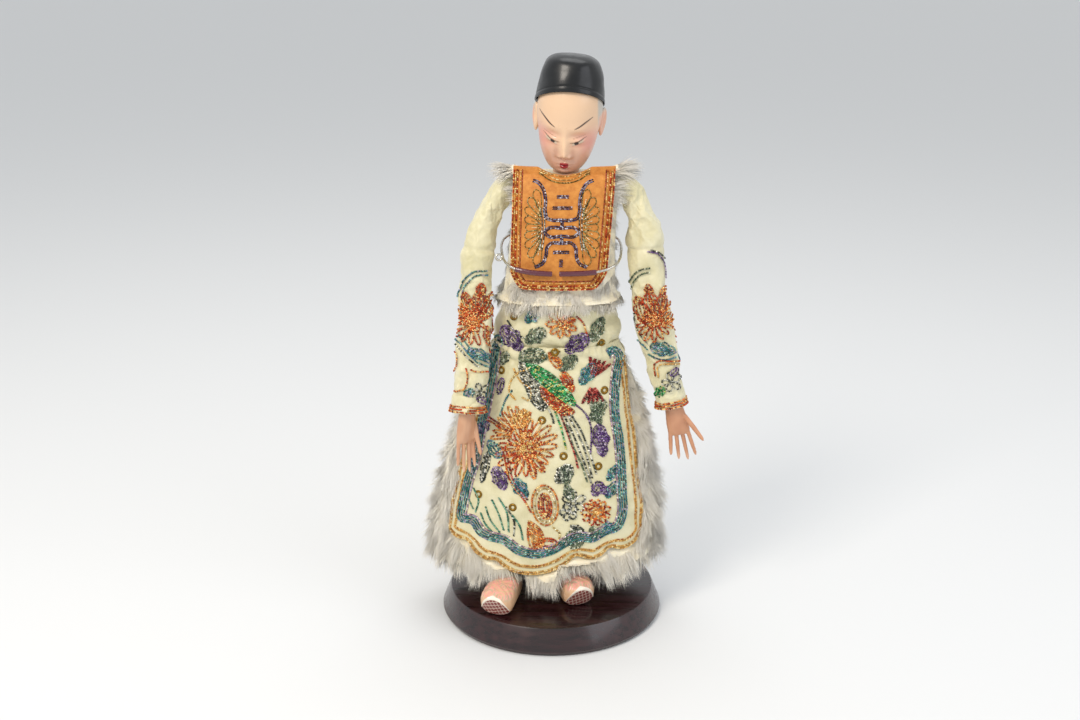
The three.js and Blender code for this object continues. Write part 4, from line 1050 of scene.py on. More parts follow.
chest_mesh = chest_panel("orange_chest_panel", 1, 61)
chest = piece("orange_chest_panel", chest_mesh, orange, replaces=["chest_panel"])
back_cloth_mesh = chest_panel("orange_back_panel", -1, 62)
back_cloth = piece("orange_back_panel", back_cloth_mesh, orange, replaces=["back_panel"])
walled(chest, 1.1)
walled(back_cloth, 1.1)
print("chest areas:", round(area_of(chest_mesh), 5), round(area_of(back_cloth_mesh), 5))
# %% [markdown]
# ## Stamping small shapes
# Hairs, stitches and sequins are tiny shapes repeated thousands of times. Each one is made once with a few
# faces. Copies of it are then set down with their own place and axes, and all of them become one mesh.

# %% Stamps, scattering and lookups
def small_shape(build):
    """Corner points and triangles of a shape that build makes."""
    bm = bmesh.new()
    build(bm)
    bmesh.ops.triangulate(bm, faces=bm.faces)
    bm.verts.index_update()
    points = np.array([v.co for v in bm.verts])
    faces = np.array([[v.index for v in face.verts] for face in bm.faces])
    bm.free()
    return points, faces


def stamp(name, shape, origin, side, front, length, bend=None):
    """Many copies of a shape in one mesh. Its x, y and z follow side, front and length, in millimetres."""
    points, faces = shape
    spread = origin[:, None] + side[:, None] * points[None, :, :1] + front[:, None] * points[None, :, 1:2]
    spread = spread + length[:, None] * points[None, :, 2:]
    if bend is not None:
        spread = spread + bend[:, None] * points[None, :, 2:] ** 2
    every = faces[None] + (np.arange(len(origin)) * len(points))[:, None, None]
    mesh = bpy.data.meshes.new(name)
    mesh.from_pydata((spread.reshape(-1, 3) * MM).tolist(), [], every.reshape(-1, 3).tolist())
    return mesh


def unit(vectors):
    return vectors / np.maximum(np.linalg.norm(vectors, axis=-1, keepdims=True), 1e-9)


def scatter(mesh, count):
    """Random points and normals spread evenly over a mesh."""
    mesh.calc_loop_triangles()
    corners = np.empty(len(mesh.loop_triangles) * 3, dtype=np.int32)
    mesh.loop_triangles.foreach_get("vertices", corners)
    corners = corners.reshape(-1, 3)
    points, normals = points_of(mesh), normals_of(mesh)
    a, b, c = (points[corners[:, k]] for k in range(3))
    area = np.linalg.norm(np.cross(b - a, c - a), axis=1)
    chosen = rng.choice(len(area), count, p=area / area.sum())
    share = rng.dirichlet((1, 1, 1), count)[:, :, None]
    chosen = corners[chosen]
    return (points[chosen] * share).sum(axis=1), unit((normals[chosen] * share).sum(axis=1))


def tree_of(mesh):
    return BVHTree.FromPolygons([v.co for v in mesh.vertices], [tuple(p.vertices) for p in mesh.polygons])


def hits(spots, ahead, trees, reach):
    """Which lines of a given reach, in millimetres, meet one of the meshes."""
    return np.array([
        any(tree.ray_cast(Vector(spot), Vector(way), reach * MM)[0] is not None for tree in trees)
        for spot, way in zip(spots * MM, ahead)
    ])


def drift(spots, size, seed):
    """A smooth random direction for each point, so that neighbours agree."""
    wave = np.random.default_rng(seed)
    total = np.zeros_like(spots)
    for _ in range(6):
        turn = wave.normal(size=(3, 3)) * 2 / size
        total += np.sin(spots @ turn + wave.uniform(0, 2 * math.pi, 3))
    return total / 2.5


trees = {
    "front": tree_of(front_mesh), "back": tree_of(back_mesh), "body": tree_of(body_mesh),
    "chest": tree_of(chest_mesh), "chest_back": tree_of(back_cloth_mesh),
    "right": tree_of(sleeve_meshes["right"]), "left": tree_of(sleeve_meshes["left"]),
    "shoe_right": tree_of(shoe_meshes["right"]), "shoe_left": tree_of(shoe_meshes["left"]),
}
print("lookups ready")

# %% [markdown]
# ## Fur
# The fur is a dressed rabbit skin sewn in as a lining. Its hair is 5 to 10 mm long, soft and matted into
# small locks. Under it a slightly shrunken copy of the solid stands for the skin. Each hair is a bent cone
# of ten faces that lies downwards, and it keeps clear of the cloth that covers the fur.

# %% Fur
HAIR_WIDTH = 0.34
SKIRT_HAIRS, VEST_HAIRS = 18500, 15500
TRIES = 6  # places drawn for each hair that is wanted, because many are left out
BARE_FRINGE = 6.8  # how far the hide stays above the tips of the lowest hair
DOWN = np.array([0, 0, -1.0])
# The third fur colour is painted shade: it darkens the hide under the hair, and the hair between locks.
FUR_TIP, FUR_ROOT, FUR_PAINTED_SHADE = "#fff8e8", "#f6ebd0", "#e3d7b9"


def build_hair(bm):
    bmesh.ops.create_cone(bm, cap_ends=True, segments=3, radius1=1, radius2=0, depth=1,
                          matrix=Matrix.Translation((0, 0, 0.5)))
    everything = bm.verts[:] + bm.edges[:] + bm.faces[:]
    bmesh.ops.bisect_plane(bm, geom=everything, plane_co=(0, 0, 0.5), plane_no=(0, 0, 1))


HAIR = small_shape(build_hair)
FOOT_TOP = {"right": 16.5, "left": 20.0}  # height of the fur's edge over each shoe
SKIRT_WIDE, SKIRT_DEEP = 55, 28  # half the fur's width and depth, for directions round it


def over_foot(spots, frame_of_foot):
    """1 for a point above a shoe, where the fur rests on it instead of hanging, and 0 away from it."""
    x, y, _ = placed(spots, frame_of_foot.inverted()).T
    return step(12, 9.5, np.abs(x)) * step(-21, -18, y) * step(16, 12, y)


def fur_piece(name, node, count, covers, length, lay, foot, reach, seed, shrink=1.3):
    """The skin and the hair of one fur.

    lay gives each hair's direction and bend, foot how low it may hang, and reach how long it is there.
    """
    skin = soft_copy(node, 1.3, 5)
    skin_points = points_of(skin) - normals_of(skin) * shrink
    for side, frame_of_foot in FOOT_FRAMES.items():
        over = over_foot(skin_points, frame_of_foot)
        low = np.clip(SOLE_HEIGHT + FOOT_TOP[side] - skin_points[:, 2], 0, None)
        skin_points[:, 2] += over * low * 0.9
    tucked = np.clip(SOLE_HEIGHT + foot(skin_points) + BARE_FRINGE - skin_points[:, 2], 0, None)
    skin_points[:, 2] += tucked * 0.6
    move_points(skin, skin_points)
    base = np.tile(np.array(linear(FUR_ROOT)[:3]), (len(skin_points), 1))
    # The hide gets patches of painted shade, where the hair above would shade it.
    paint_points(skin, blend(base, FUR_PAINTED_SHADE, 0.5 + 0.5 * drift(skin_points, 5, seed)[:, 0]))
    piece(f"{name}_skin", skin, fur, replaces=[node])

    spots, normals = scatter(skin, count * TRIES)
    direction, bend, keep = lay(spots, normals)
    direction = unit(direction + 0.42 * drift(spots, 4.5, seed) + rng.normal(0, 0.13, spots.shape))
    spots, normals, direction, bend = (values[keep] for values in (spots, normals, direction, bend))
    outward = unit(normals * [1, 1, 0.2])
    root = spots + normals * 0.4
    hidden = hits(spots + direction * 3.2, outward, covers, 9) | hits(root, direction, covers, 6)
    stray = 0.2 * drift(spots, 4.5, seed) + rng.normal(0, 0.06, spots.shape)
    hanging = unit(DOWN + outward * 0.1 + stray)
    stays = hits(spots + hanging * 5, outward, covers, 9) | hits(root, hanging, covers, 6)
    direction = np.where((hidden & ~stays)[:, None], hanging, direction)
    hidden &= stays
    chosen = np.flatnonzero(~hidden)[:count]
    spots, normals, direction, bend = (values[chosen] for values in (spots, normals, direction, bend))
    room = (spots[:, 2] - SOLE_HEIGHT - foot(spots)) / np.maximum(-direction[:, 2], 0.05)
    long = rng.uniform(*length, len(spots)) * reach(spots)
    long = np.clip(np.minimum(long, room + rng.uniform(0, 1.5, len(spots))), 1.5, 12)[:, None]
    side = unit(np.cross(direction, normals)) * HAIR_WIDTH / 2
    front = unit(np.cross(direction, side)) * HAIR_WIDTH / 2
    mesh = stamp(name, HAIR, spots - normals * 0.5, side, front, direction * long, bend * long / 8)
    rise = np.tile(HAIR[0][:, 2], len(spots))
    # Painted shade between the locks, deepest near the roots.
    painted_lock_shade = drift(spots, 3.0, seed + 1)[:, 0] * 0.5 + rng.normal(0, 0.25, len(spots))
    painted_lock_shade = np.repeat(painted_lock_shade, len(HAIR[0]))
    colours = np.tile(np.array(linear(FUR_ROOT)[:3]), (len(rise), 1))
    colours = blend(colours, FUR_TIP, step(0, 0.8, rise))
    colours = blend(colours, FUR_PAINTED_SHADE, 0.5 * np.clip(painted_lock_shade, 0, 1) * (1 - 0.6 * rise))
    paint_points(mesh, colours)
    piece(name, mesh, fur)
    pelt_normals = unit(normals + [0, 0, 0.35])
    mesh.normals_split_custom_set_from_vertices(np.repeat(pelt_normals, len(HAIR[0]), axis=0).tolist())
    print(name, "hairs:", len(spots), "triangles:", len(mesh.polygons))


def skirt_lay(spots, normals):
    """Hair stands off the skirt's fur and droops. Few hairs grow inside, near the hem."""
    z = spots[:, 2] - SOLE_HEIGHT
    outward = unit(np.stack([
        (spots[:, 0] - lean(z)) / SKIRT_WIDE**2, spots[:, 1] / SKIRT_DEEP**2, np.zeros_like(z)], axis=-1))
    inner = (normals * outward).sum(axis=1) < -0.15
    keep = ~inner | ((z < 26) & (rng.random(len(z)) < 0.35))
    fall = (0.75 + 0.3 * step(40, 15, z))[:, None]
    return normals * 0.5 + outward * 0.25 + DOWN * fall, outward * -0.8 + DOWN * 1.4, keep


def skirt_foot(spots):
    around = np.arctan2(spots[:, 0] / SKIRT_WIDE, np.abs(spots[:, 1]) / SKIRT_DEEP)
    foot = 7.2 + 9.5 * np.sin(around) ** 2
    for side, frame_of_foot in FOOT_FRAMES.items():
        foot = np.maximum(foot, over_foot(spots, frame_of_foot) * (FOOT_TOP[side] - 2))
    return foot


def skirt_reach(spots):
    return 0.75 + 0.35 * step(110, 50, spots[:, 2] - SOLE_HEIGHT)


VEST_FOOT = 150.8
VEST_FRINGE = 156  # hairs grow inside the vest only below this height
SHOULDER = 203  # tufts stand out above this height
VEST_MIDDLE, NECK_MIDDLE, NECK_CLEAR = 3, 6, 16.5


def vest_foot(spots):
    return np.full(len(spots), VEST_FOOT)


def vest_reach(spots):
    """Longer hair at the fringe, shorter beside the chest, longest on the shoulders."""
    z = spots[:, 2] - SOLE_HEIGHT
    beside = step(24, 32, np.abs(spots[:, 0] - VEST_MIDDLE)) * step(180, 172, z)
    return (0.75 + 0.2 * step(172, 163, z)) * (1 - 0.35 * beside) + 0.85 * step(SHOULDER, SHOULDER + 6, z)


def vest_lay(spots, normals):
    """Hair lies down over the vest, stands sideways as tufts on the shoulders, and leaves the neck bare."""
    z = spots[:, 2] - SOLE_HEIGHT
    fall = (0.95 - 0.95 * step(196, 212, z))[:, None]
    inner = (normals[:, :2] * (spots[:, :2] - [VEST_MIDDLE, 0])).sum(axis=1) < -0.1
    keep = ~inner | ((z < VEST_FRINGE) & (rng.random(len(z)) < 0.4))
    keep &= ~((z > SHOULDER + 3) & (np.abs(spots[:, 0] - NECK_MIDDLE) < NECK_CLEAR))
    keep &= (rng.random(len(z)) < 0.5) | (z < 170) | (z > SHOULDER)
    tuft = step(200, 208, z)[:, None]
    aside = np.sign(spots[:, 0] - NECK_MIDDLE) * 1.1
    over_shoulder = np.stack([aside, np.full_like(z, -0.25), np.full_like(z, 0.05)], axis=-1) + normals * 0.3
    lying = (normals * 0.4 + DOWN * fall) * (1 - tuft) + over_shoulder * tuft
    bending = (normals * -0.4 + DOWN * fall * 1.2) * (1 - tuft) + DOWN * 1.5 * tuft
    return lying, bending, keep


skirt_covers = [trees[name] for name in ("front", "back", "shoe_right", "shoe_left")]
for part, seed in (("front", 70), ("back", 80)):
    fur_piece(f"fur_skirt_{part}", f"skirt_fur_{part}", SKIRT_HAIRS, skirt_covers, (6.5, 10.5),
              skirt_lay, skirt_foot, skirt_reach, seed)
vest_covers = [trees[name] for name in ("chest", "chest_back", "right", "left")]
fur_piece("fur_vest_hair", "fur_vest", VEST_HAIRS, vest_covers, (5.0, 8.5),
          vest_lay, vest_foot, vest_reach, 90, 1.7)

# %% [markdown]
# ## Couched thread
# The figures are drawn with couched thread: a twisted metal cord about 1 mm wide is laid along the drawing
# and stitched down. Close to, a twisted cord is a row of slanting grains, so each cord here is a row of
# small slanting ellipsoids. Its colours flicker at random between the dye and pale tones: painted glints
# and painted shade on the twisted foil.

# %% Palettes and the grain
# Each palette mixes the dye's tones with pale tones that are painted glints on the foil.
PALETTES = {name: np.array([linear(colour)[:3] for colour in colours.split()]) for name, colours in {
    "red_gold": "#b23c1d #cc5f2b #e3a455 #8c2a17 #f0cd8a #c24a22",
    "orange": "#c9692a #e09344 #f2cf8e #a8481f #dba35c",
    "gold": "#d2a252 #e6bd74 #f5dfa6 #b98440 #deb064",
    "amber": "#d49a4c #e2b366 #f2d596 #b9652a #d9a04e",
    "pale_gold": "#c9ab69 #e6d5a0 #a98748 #f2e9c9",
    "teal": "#2c6f72 #4a918c #9cc8bd #1c4d57 #3a7f83 #a9a4b8 #567f9a",
    "green": "#1d8a4a #42b368 #a6dcae #145f36 #2f9a55 #c9c76e",
    "grass": "#4d8f78 #76a58c #94b59f #35705c",
    "purple": "#563770 #7a5a94 #38254f #b5a3bd #64477c #8c7f97",
    "silver": "#7c7e76 #c4c4b6 #4a504a #ece9dc #2c302b",
    "grey_green": "#5d6e57 #8a977c #3c4b3f #c3c8b4 #6e7d62",
    "indigo": "#232851 #3a4172 #7c82a0 #181b38 #c3c6d2",
    "pink_silver": "#b597a4 #dccacd #8a6a7e #ece4e0 #9c8fae",
    "dark_red": "#8a2728 #ab3f38 #cf7263 #5a181b",
    "dark_gold": "#6e5a24 #98803c #c4b070 #463a18",
    "olive": "#67663a #92905c #c4c08e #45482a",
}.items()}
GRAIN = small_shape(lambda bm: bmesh.ops.create_icosphere(bm, subdivisions=1, radius=1))
THREAD = 1.12
batches = {}


def add_cord(batch, points, normals, palette, width=THREAD, slant=58, glint_and_shade=0.33):
    """A row of slanting grains along points on the cloth, all in millimetres."""
    pitch = max(width * 0.82, 0.45)
    far = np.concatenate([[0], np.cumsum(np.linalg.norm(np.diff(points, axis=0), axis=1))])
    count = int(far[-1] / pitch)
    if count < 2:
        return
    at = (np.arange(count) + 0.5) * far[-1] / count
    spots = np.stack([np.interp(at, far, column) for column in points.T], axis=-1)
    facing = unit(np.stack([np.interp(at, far, column) for column in normals.T], axis=-1))
    ahead = unit(np.gradient(spots, axis=0))
    side = unit(np.cross(facing, ahead))
    turn = np.radians(slant + rng.normal(0, 9, count))[:, None]
    axis = ahead * np.cos(turn) + side * np.sin(turn)
    flat = side * np.cos(turn) - ahead * np.sin(turn)
    size = rng.uniform(0.9, 1.1, count)[:, None]
    dyes = PALETTES[palette]
    colours = dyes[rng.choice(len(dyes), count)]
    # Each grain's brightness is drawn at random: painted glints and painted shade on the twisted foil.
    colours = colours * rng.uniform(0.93 - glint_and_shade, 0.93 + glint_and_shade, count)[:, None]
    batches.setdefault(batch, []).append((
        spots + facing * width * 0.2, flat * pitch * 0.48 * size, facing * width * 0.45,
        axis * width * 0.64 * size, colours,
    ))


def sew_batch(batch, name, replaces=()):
    """Makes one piece of all the cords in a batch."""
    origin, side, front, length, colours = (np.concatenate(parts) for parts in zip(*batches[batch]))
    mesh = stamp(name, GRAIN, origin, side, front, length)
    paint_points(mesh, np.repeat(colours, len(GRAIN[0]), axis=0))
    print(name, "grains:", len(origin), "triangles:", len(mesh.polygons))
    return piece(name, mesh, metal_thread, replaces=replaces)


def lay_on(points, tree, lift):
    """The nearest places on a cloth, lifted off its middle, and the normals there."""
    spots, normals = [], []
    for point in points:
        spot, normal, _, _ = tree.find_nearest(Vector(point * MM))
        spots.append(np.array(spot) / MM + np.array(normal) * lift)
        normals.append(np.array(normal))
    return np.array(spots), np.array(normals)


IN_FRONT, BEHIND = np.ones(3), np.array([-1, -1, 1])


def first_hit(px, py, cloths, turned):
    """Where a pixel's line first meets the cloths, in millimetres, and the normal there, or None."""
    way = Vector(np.array(line_through(px, py)) * turned)
    found = [tree.ray_cast(Vector(np.array(EYE) * turned), way) for tree in cloths]
    found = [hit for hit in found if hit[0] is not None]
    if not found:
        return None
    spot, normal, _, _ = min(found, key=lambda hit: hit[3])
    return np.array(spot) / MM, np.array(normal)


def embroider(batch, path, palette, on, width=THREAD, slant=58, lift=0.45, turned=IN_FRONT):
    """Sews a cord where lines through a path of pixels meet the cloth, or the same seen from behind."""
    path = np.asarray(path, dtype=float)
    count = max(int(np.linalg.norm(np.diff(path, axis=0), axis=1).sum() * 1.1), 4)
    path = spline(path, count) if len(path) > 2 else np.linspace(path[0], path[-1], count)
    run_points, run_normals = [], []

    def finish_run():
        if len(run_points) > 3:
            add_cord(batch, np.array(run_points), np.array(run_normals), palette, width, slant)
        run_points.clear()
        run_normals.clear()

    for px, py in path:
        hit = first_hit(px, py, on, turned)
        if hit is None:
            finish_run()
            continue
        spot, normal = hit
        spot = spot + normal * lift
        if run_points and np.linalg.norm(spot - run_points[-1]) > 3:
            finish_run()
        run_points.append(spot)
        run_normals.append(normal)
    finish_run()


print("palettes:", len(PALETTES))

# %% [markdown]
# The drawing is made of a few kinds of shape. A leaf is rows of cord, one inside the other. A bloom is a
# ring of looped petals. A line follows its points, and a patch is filled by a cord that wanders to and fro.
# Places are in pixels of the photograph, about 2.2 to the millimetre.

# %% Shapes of the drawing
ROW_GAP = 2.4  # pixels between neighbouring rows of cord


def leaf_rows(base, tip, width):
    base, tip = np.array(base, float), np.array(tip, float)
    axis = tip - base
    side = np.array([-axis[1], axis[0]]) / np.linalg.norm(axis)
    turn = np.linspace(0, 2 * math.pi, 26)
    rows = []
    in_from_edge = 0.0
    while width / 2 - in_from_edge > 0.8:
        share = 1 - 2 * in_from_edge / width
        along = 0.5 - 0.5 * (1 - 2 * in_from_edge / np.linalg.norm(axis)) * np.cos(turn)
        across = width / 2 * share * squared(np.sin(turn), 1.35) * (1.15 - 0.3 * along)
        across = across * (0.74 + 0.42 * np.abs(np.sin(math.pi * (2.6 * along + 0.2))))
        rows.append(base + axis * along[:, None] + side * across[:, None])
        in_from_edge += ROW_GAP
    return rows + [np.array([base + axis * 0.12, tip - axis * 0.2])]


def bloom_rows(centre, inner, outer, petals, plump=0.5, start=0.0, sweep=360.0):
    rows = []
    turn = np.linspace(0, 2 * math.pi, 18)
    for k in range(petals):
        angle = math.radians(start + sweep * (k + 0.5) / petals)
        ahead = np.array([math.cos(angle), math.sin(angle)])
        side = np.array([-ahead[1], ahead[0]])
        reach = outer * (1 + 0.09 * math.sin(5.3 * k))
        room = math.radians(sweep) / petals * (inner + reach) / 2 * plump
        out = 0.5 - 0.5 * np.cos(turn)
        along = inner + (reach - inner) * out
        across = room * np.sin(turn) * (0.55 + 0.45 * out)
        rows.append(np.array(centre) + ahead * along[:, None] + side * across[:, None])
    return rows


def inside(points, outline):
    """Which points lie in a closed outline."""
    x, y = points[:, :1], points[:, 1:]
    x0, y0 = outline.T
    x1, y1 = np.roll(outline, -1, axis=0).T
    crosses = (y0 > y) != (y1 > y)
    slope = (x1 - x0) / np.where(y1 == y0, 1e-9, y1 - y0)
    return (crosses & (x < x0 + (y - y0) * slope)).sum(axis=1) % 2 == 1


def patch_rows(outline):
    """The outline, and rows that run the long way of the patch."""
    outline = spline(np.array(list(outline) + [outline[0]], float), 40)
    centre = outline.mean(axis=0)
    _, _, axes = np.linalg.svd(outline - centre)
    along, across = (outline - centre) @ axes[0], (outline - centre) @ axes[1]
    rows = [outline]
    reach = np.linspace(along.min(), along.max(), 40)
    places = np.arange(across.min() + ROW_GAP, across.max() - ROW_GAP / 2, ROW_GAP)
    for k, place in enumerate(places):
        aside = place + 0.7 * np.sin(reach * 1.7 + k)
        row = centre + reach[:, None] * axes[0] + aside[:, None] * axes[1]
        run = []
        for point, within in zip(row, inside(row, outline)):
            if within:
                run.append(point)
            elif len(run) > 2:
                rows.append(np.array(run))
                run = []
        if len(run) > 2:
            rows.append(np.array(run))
    return rows


def oval_rows(centre, rx, ry, rows=1, tilt=0.0):
    turn = np.linspace(0, 2 * math.pi, 30)
    c, s = math.cos(math.radians(tilt)), math.sin(math.radians(tilt))
    made = []
    for k in range(rows):
        x, y = (rx - k * ROW_GAP) * np.cos(turn), (ry - k * ROW_GAP) * np.sin(turn)
        made.append(np.array(centre) + np.stack([x * c - y * s, x * s + y * c], axis=-1))
    return made


def beside(path, offset):
    """A path of pixels moved sideways."""
    path = spline(path, 90)
    ahead = unit(np.gradient(path, axis=0))
    return path + np.stack([ahead[:, 1], -ahead[:, 0]], axis=-1) * offset


SHAPES = {
    "line": lambda *points: [np.array(points, float)], "leaf": leaf_rows, "bloom": bloom_rows,
    "patch": lambda *points: patch_rows(points), "oval": oval_rows,
}
print("shapes:", list(SHAPES))

# %% [markdown]
# The robe's drawing has a long-tailed bird among flowers, buds and leaves, with sequins between them, over
# a border of teal waves. All of it is common stock of this kind of costume.

# %% The robe's drawing
TEAL_BORDER = [
    (607, 354), (613, 351), (618, 356), (616, 368), (614, 388), (614, 412), (618, 440), (620, 462),
    (621, 490),
    (621, 515), (616, 526), (604, 530), (592, 537), (577, 536), (566, 541), (552, 549), (537, 553),
    (518, 549),
    (504, 539), (492, 536), (482, 531), (473, 519), (463, 517), (464, 505), (468, 486), (476, 460),
    (484, 419),
    (490, 392), (495, 366), (497, 350),
]
ROBE_DRAWING = [
    # under the chest fur, at the waist
    ("leaf", "teal", (539, 312), (526, 321), 10), ("bloom", "orange", (562, 324), 3, 15, 9, 0.5),
    ("bloom", "red_gold", (566, 322), 0.5, 7, 6, 0.6),
    ("line", "red_gold", (576, 316), (582, 322), (587, 336)),
    ("leaf", "grey_green", (592, 341), (602, 317), 11), ("leaf", "grey_green", (545, 330), (526, 342), 13),
    ("leaf", "purple", (503, 327), (522, 350), 15), ("leaf", "purple", (588, 336), (565, 351), 15),
    ("line", "silver", (508, 320), (516, 333), (524, 338)), ("leaf", "teal", (500, 335), (496, 350), 9),
    # the bird: head, wings, body, belly and tail
    ("patch", "grey_green", (521, 353), (530, 349), (541, 350), (547, 356), (541, 362), (528, 363),
    (520, 360)),
    ("line", "dark_gold", (548, 353), (553, 351), (560, 352)), ("oval", "dark_gold", (543, 356), 1.5, 1.5),
    ("patch", "silver", (520, 361), (527, 366), (534, 377), (543, 392), (548, 404), (543, 410),
    (534, 404), (526, 388), (520, 372)),
    ("patch", "green", (526, 364), (538, 366), (550, 373), (562, 384), (573, 398), (575, 405), (566, 402),
    (552, 392), (538, 380)),
    ("line", "green", (530, 368), (546, 377), (562, 391), (572, 402)),
    ("line", "green", (531, 371), (545, 381), (560, 394), (570, 403)),
    ("patch", "red_gold", (540, 386), (552, 394), (566, 405), (574, 412), (566, 415), (554, 409),
    (543, 397)),
    ("patch", "orange", (548, 352), (556, 356), (562, 365), (560, 368), (551, 362)),
    ("leaf", "red_gold", (562, 372), (573, 391), 9),
    ("line", "silver", (562, 412), (572, 432), (581, 455), (588, 474), (591, 483)),
    ("line", "silver", (566, 412), (577, 432), (586, 455), (592, 478)),
    ("line", "silver", (570, 413), (581, 431), (589, 452), (596, 474)),
    ("line", "grey_green", (566, 424), (573, 446), (582, 466), (587, 482)),
    ("line", "dark_red", (560, 413), (567, 432), (574, 452), (578, 468)),
    ("line", "green", (555, 411), (561, 428), (566, 449)),
    ("line", "purple", (575, 404), (584, 412), (590, 424), (591, 440), (590, 454)),
    ("line", "silver", (548, 408), (552, 416), (554, 424)),
    # to the right of the bird
    ("leaf", "grey_green", (576, 356), (560, 370), 12), ("leaf", "teal", (594, 364), (580, 384), 12),
    ("bloom", "dark_red", (591, 378), 4, 22, 5, 0.34, -100, 70),
    ("bloom", "dark_red", (592, 384), 4, 20, 5, 0.34, 50, 75),
    ("line", "olive", (596, 345), (601, 342), (605, 341)),
    ("leaf", "grey_green", (604, 400), (591, 420), 12),
    ("leaf", "grey_green", (592, 402), (600, 424), 8), ("leaf", "purple", (598, 424), (603, 456), 14),
    ("leaf", "purple", (596, 432), (609, 440), 9),
    # to the left of the bird
    ("line", "gold", (531, 367), (520, 372), (512, 380), (510, 392), (516, 400)),
    ("line", "gold", (514, 368), (520, 380), (531, 390), (529, 400), (522, 397)),
    ("line", "teal", (513, 390), (507, 398), (502, 410), (500, 416)),
    ("leaf", "purple", (503, 378), (499, 394), 6), ("leaf", "grey_green", (508, 352), (502, 364), 8),
    # the chrysanthemum with its stem and leaves
    ("bloom", "orange", (524, 447), 9, 32, 11, 0.46, -120, 200),
    ("bloom", "red_gold", (526, 449), 7, 29, 8, 0.5, 40, 160),
    ("bloom", "orange", (520, 436), 8, 29, 9, 0.46, 170, 130),
    ("bloom", "red_gold", (524, 447), 3, 18, 13, 0.5),
    ("bloom", "gold", (524, 447), 0.5, 9, 8, 0.6),
    ("patch", "gold", (514, 414), (526, 410), (530, 420), (520, 428), (511, 424)),
    ("line", "red_gold", (486, 419), (496, 424), (507, 433)),
    ("line", "dark_red", (488, 416), (499, 423), (511, 432)),
    ("line", "red_gold", (503, 448), (506, 464), (510, 480), (517, 491), (525, 501), (531, 512)),
    ("line", "dark_red", (506, 448), (509, 464), (513, 479), (520, 490), (528, 500)),
    ("leaf", "teal", (501, 457), (489, 441), 11), ("leaf", "teal", (514, 479), (527, 497), 12),
    ("leaf", "purple", (488, 421), (481, 433), 9), ("leaf", "purple", (495, 467), (505, 489), 13),
    ("leaf", "silver", (571, 465), (556, 482), 14), ("leaf", "grey_green", (566, 464), (566, 484), 12),
    ("leaf", "purple", (601, 482), (593, 495), 11), ("leaf", "teal", (618, 466), (607, 480), 9),
    ("leaf", "teal", (617, 482), (606, 497), 9), ("leaf", "silver", (480, 444), (474, 470), 8),
    ("leaf", "silver", (489, 452), (482, 482), 7),
    # grasses
    ("line", "grass", (468, 487), (470, 500), (474, 509)),
    ("line", "grass", (474, 487), (479, 500), (476, 512)),
    ("line", "grass", (481, 512), (486, 524), (493, 532)),
    ("line", "grass", (486, 506), (491, 520), (500, 532)),
    ("line", "grass", (492, 499), (499, 514), (504, 530)),
    ("line", "grass", (499, 497), (507, 512), (509, 532)),
    ("line", "silver", (506, 506), (514, 520), (514, 536)),
    ("line", "grass", (512, 514), (520, 526), (523, 540)),
    # paisley and its foot
    ("oval", "orange", (545, 505), 13, 20, 1, -6), ("oval", "pale_gold", (545, 505), 10, 17, 1, -6),
    ("oval", "red_gold", (545, 506), 6.5, 13, 3, -6),
    ("patch", "orange", (529, 520), (541, 530), (543, 545), (532, 548), (528, 536)),
    ("oval", "red_gold", (547, 543), 10, 5, 2), ("line", "pale_gold", (552, 526), (560, 534), (556, 545)),
    # flowers at the lower right
    ("bloom", "silver", (573, 503), 2, 12, 6, 0.5), ("leaf", "grey_green", (571, 500), (566, 484), 9),
    ("bloom", "silver", (568, 512), 1, 9, 5, 0.6), ("bloom", "red_gold", (596, 512), 6, 14, 11, 0.5),
    ("bloom", "orange", (596, 512), 2, 9, 8, 0.55), ("bloom", "gold", (596, 512), 0.3, 4, 5, 0.6),
    ("leaf", "grey_green", (580, 530), (562, 543), 9), ("leaf", "silver", (583, 532), (570, 526), 7),
    ("leaf", "purple", (609, 494), (601, 486), 7), ("leaf", "grey_green", (590, 528), (600, 536), 8),
    ("leaf", "grey_green", (583, 540), (570, 547), 7), ("leaf", "teal", (604, 522), (612, 530), 7),
]
SEQUINS = [
    (514, 316), (502, 370), (555, 352), (601, 342), (604, 390), (542, 420), (563.5, 456), (598, 466),
    (479, 494),
    (513, 507),
]
robe_front = [trees["front"], trees["body"]]
robe_back = [trees["back"], trees["body"]]
for batch, cloth, turned in (("robe_front", robe_front, IN_FRONT), ("robe_back", robe_back, BEHIND)):
    for kind, palette, *shape in ROBE_DRAWING:
        for row in SHAPES[kind](*shape):
            embroider(batch, row, palette, cloth, turned=turned)
for offset, palette in ((-4.4, "pink_silver"), (-2.2, "teal"), (0, "teal"), (2.2, "teal"), (4.2, "teal")):
    embroider("robe_front", beside(TEAL_BORDER, offset), palette, [trees["front"]], slant=34)
print("robe drawn")

# %% [markdown]
# Gold cord edges the panel. Two cords with opposite twists lie at the very edge like a plait, then comes a
# strip of bare silk, and then a gold and a thinner amber cord. The border is worked out on the flat cloth
# and laid on the folded panel.

# %% Cords along the panels' edges
def bell_arc(degrees, z):
    """Distance round the bell from its front line, in millimetres."""
    turn = np.radians(degrees)[..., None] * np.linspace(0, 1, 50)
    wide = np.interp(z, SKIRT[:, 0], SKIRT[:, 1])[..., None]
    deep = np.interp(z, SKIRT[:, 0], SKIRT[:, 2])[..., None]
    pace = np.sqrt((wide * np.cos(turn)) ** 2 + (deep * np.sin(turn)) ** 2).mean(axis=-1)
    return pace * np.radians(degrees)


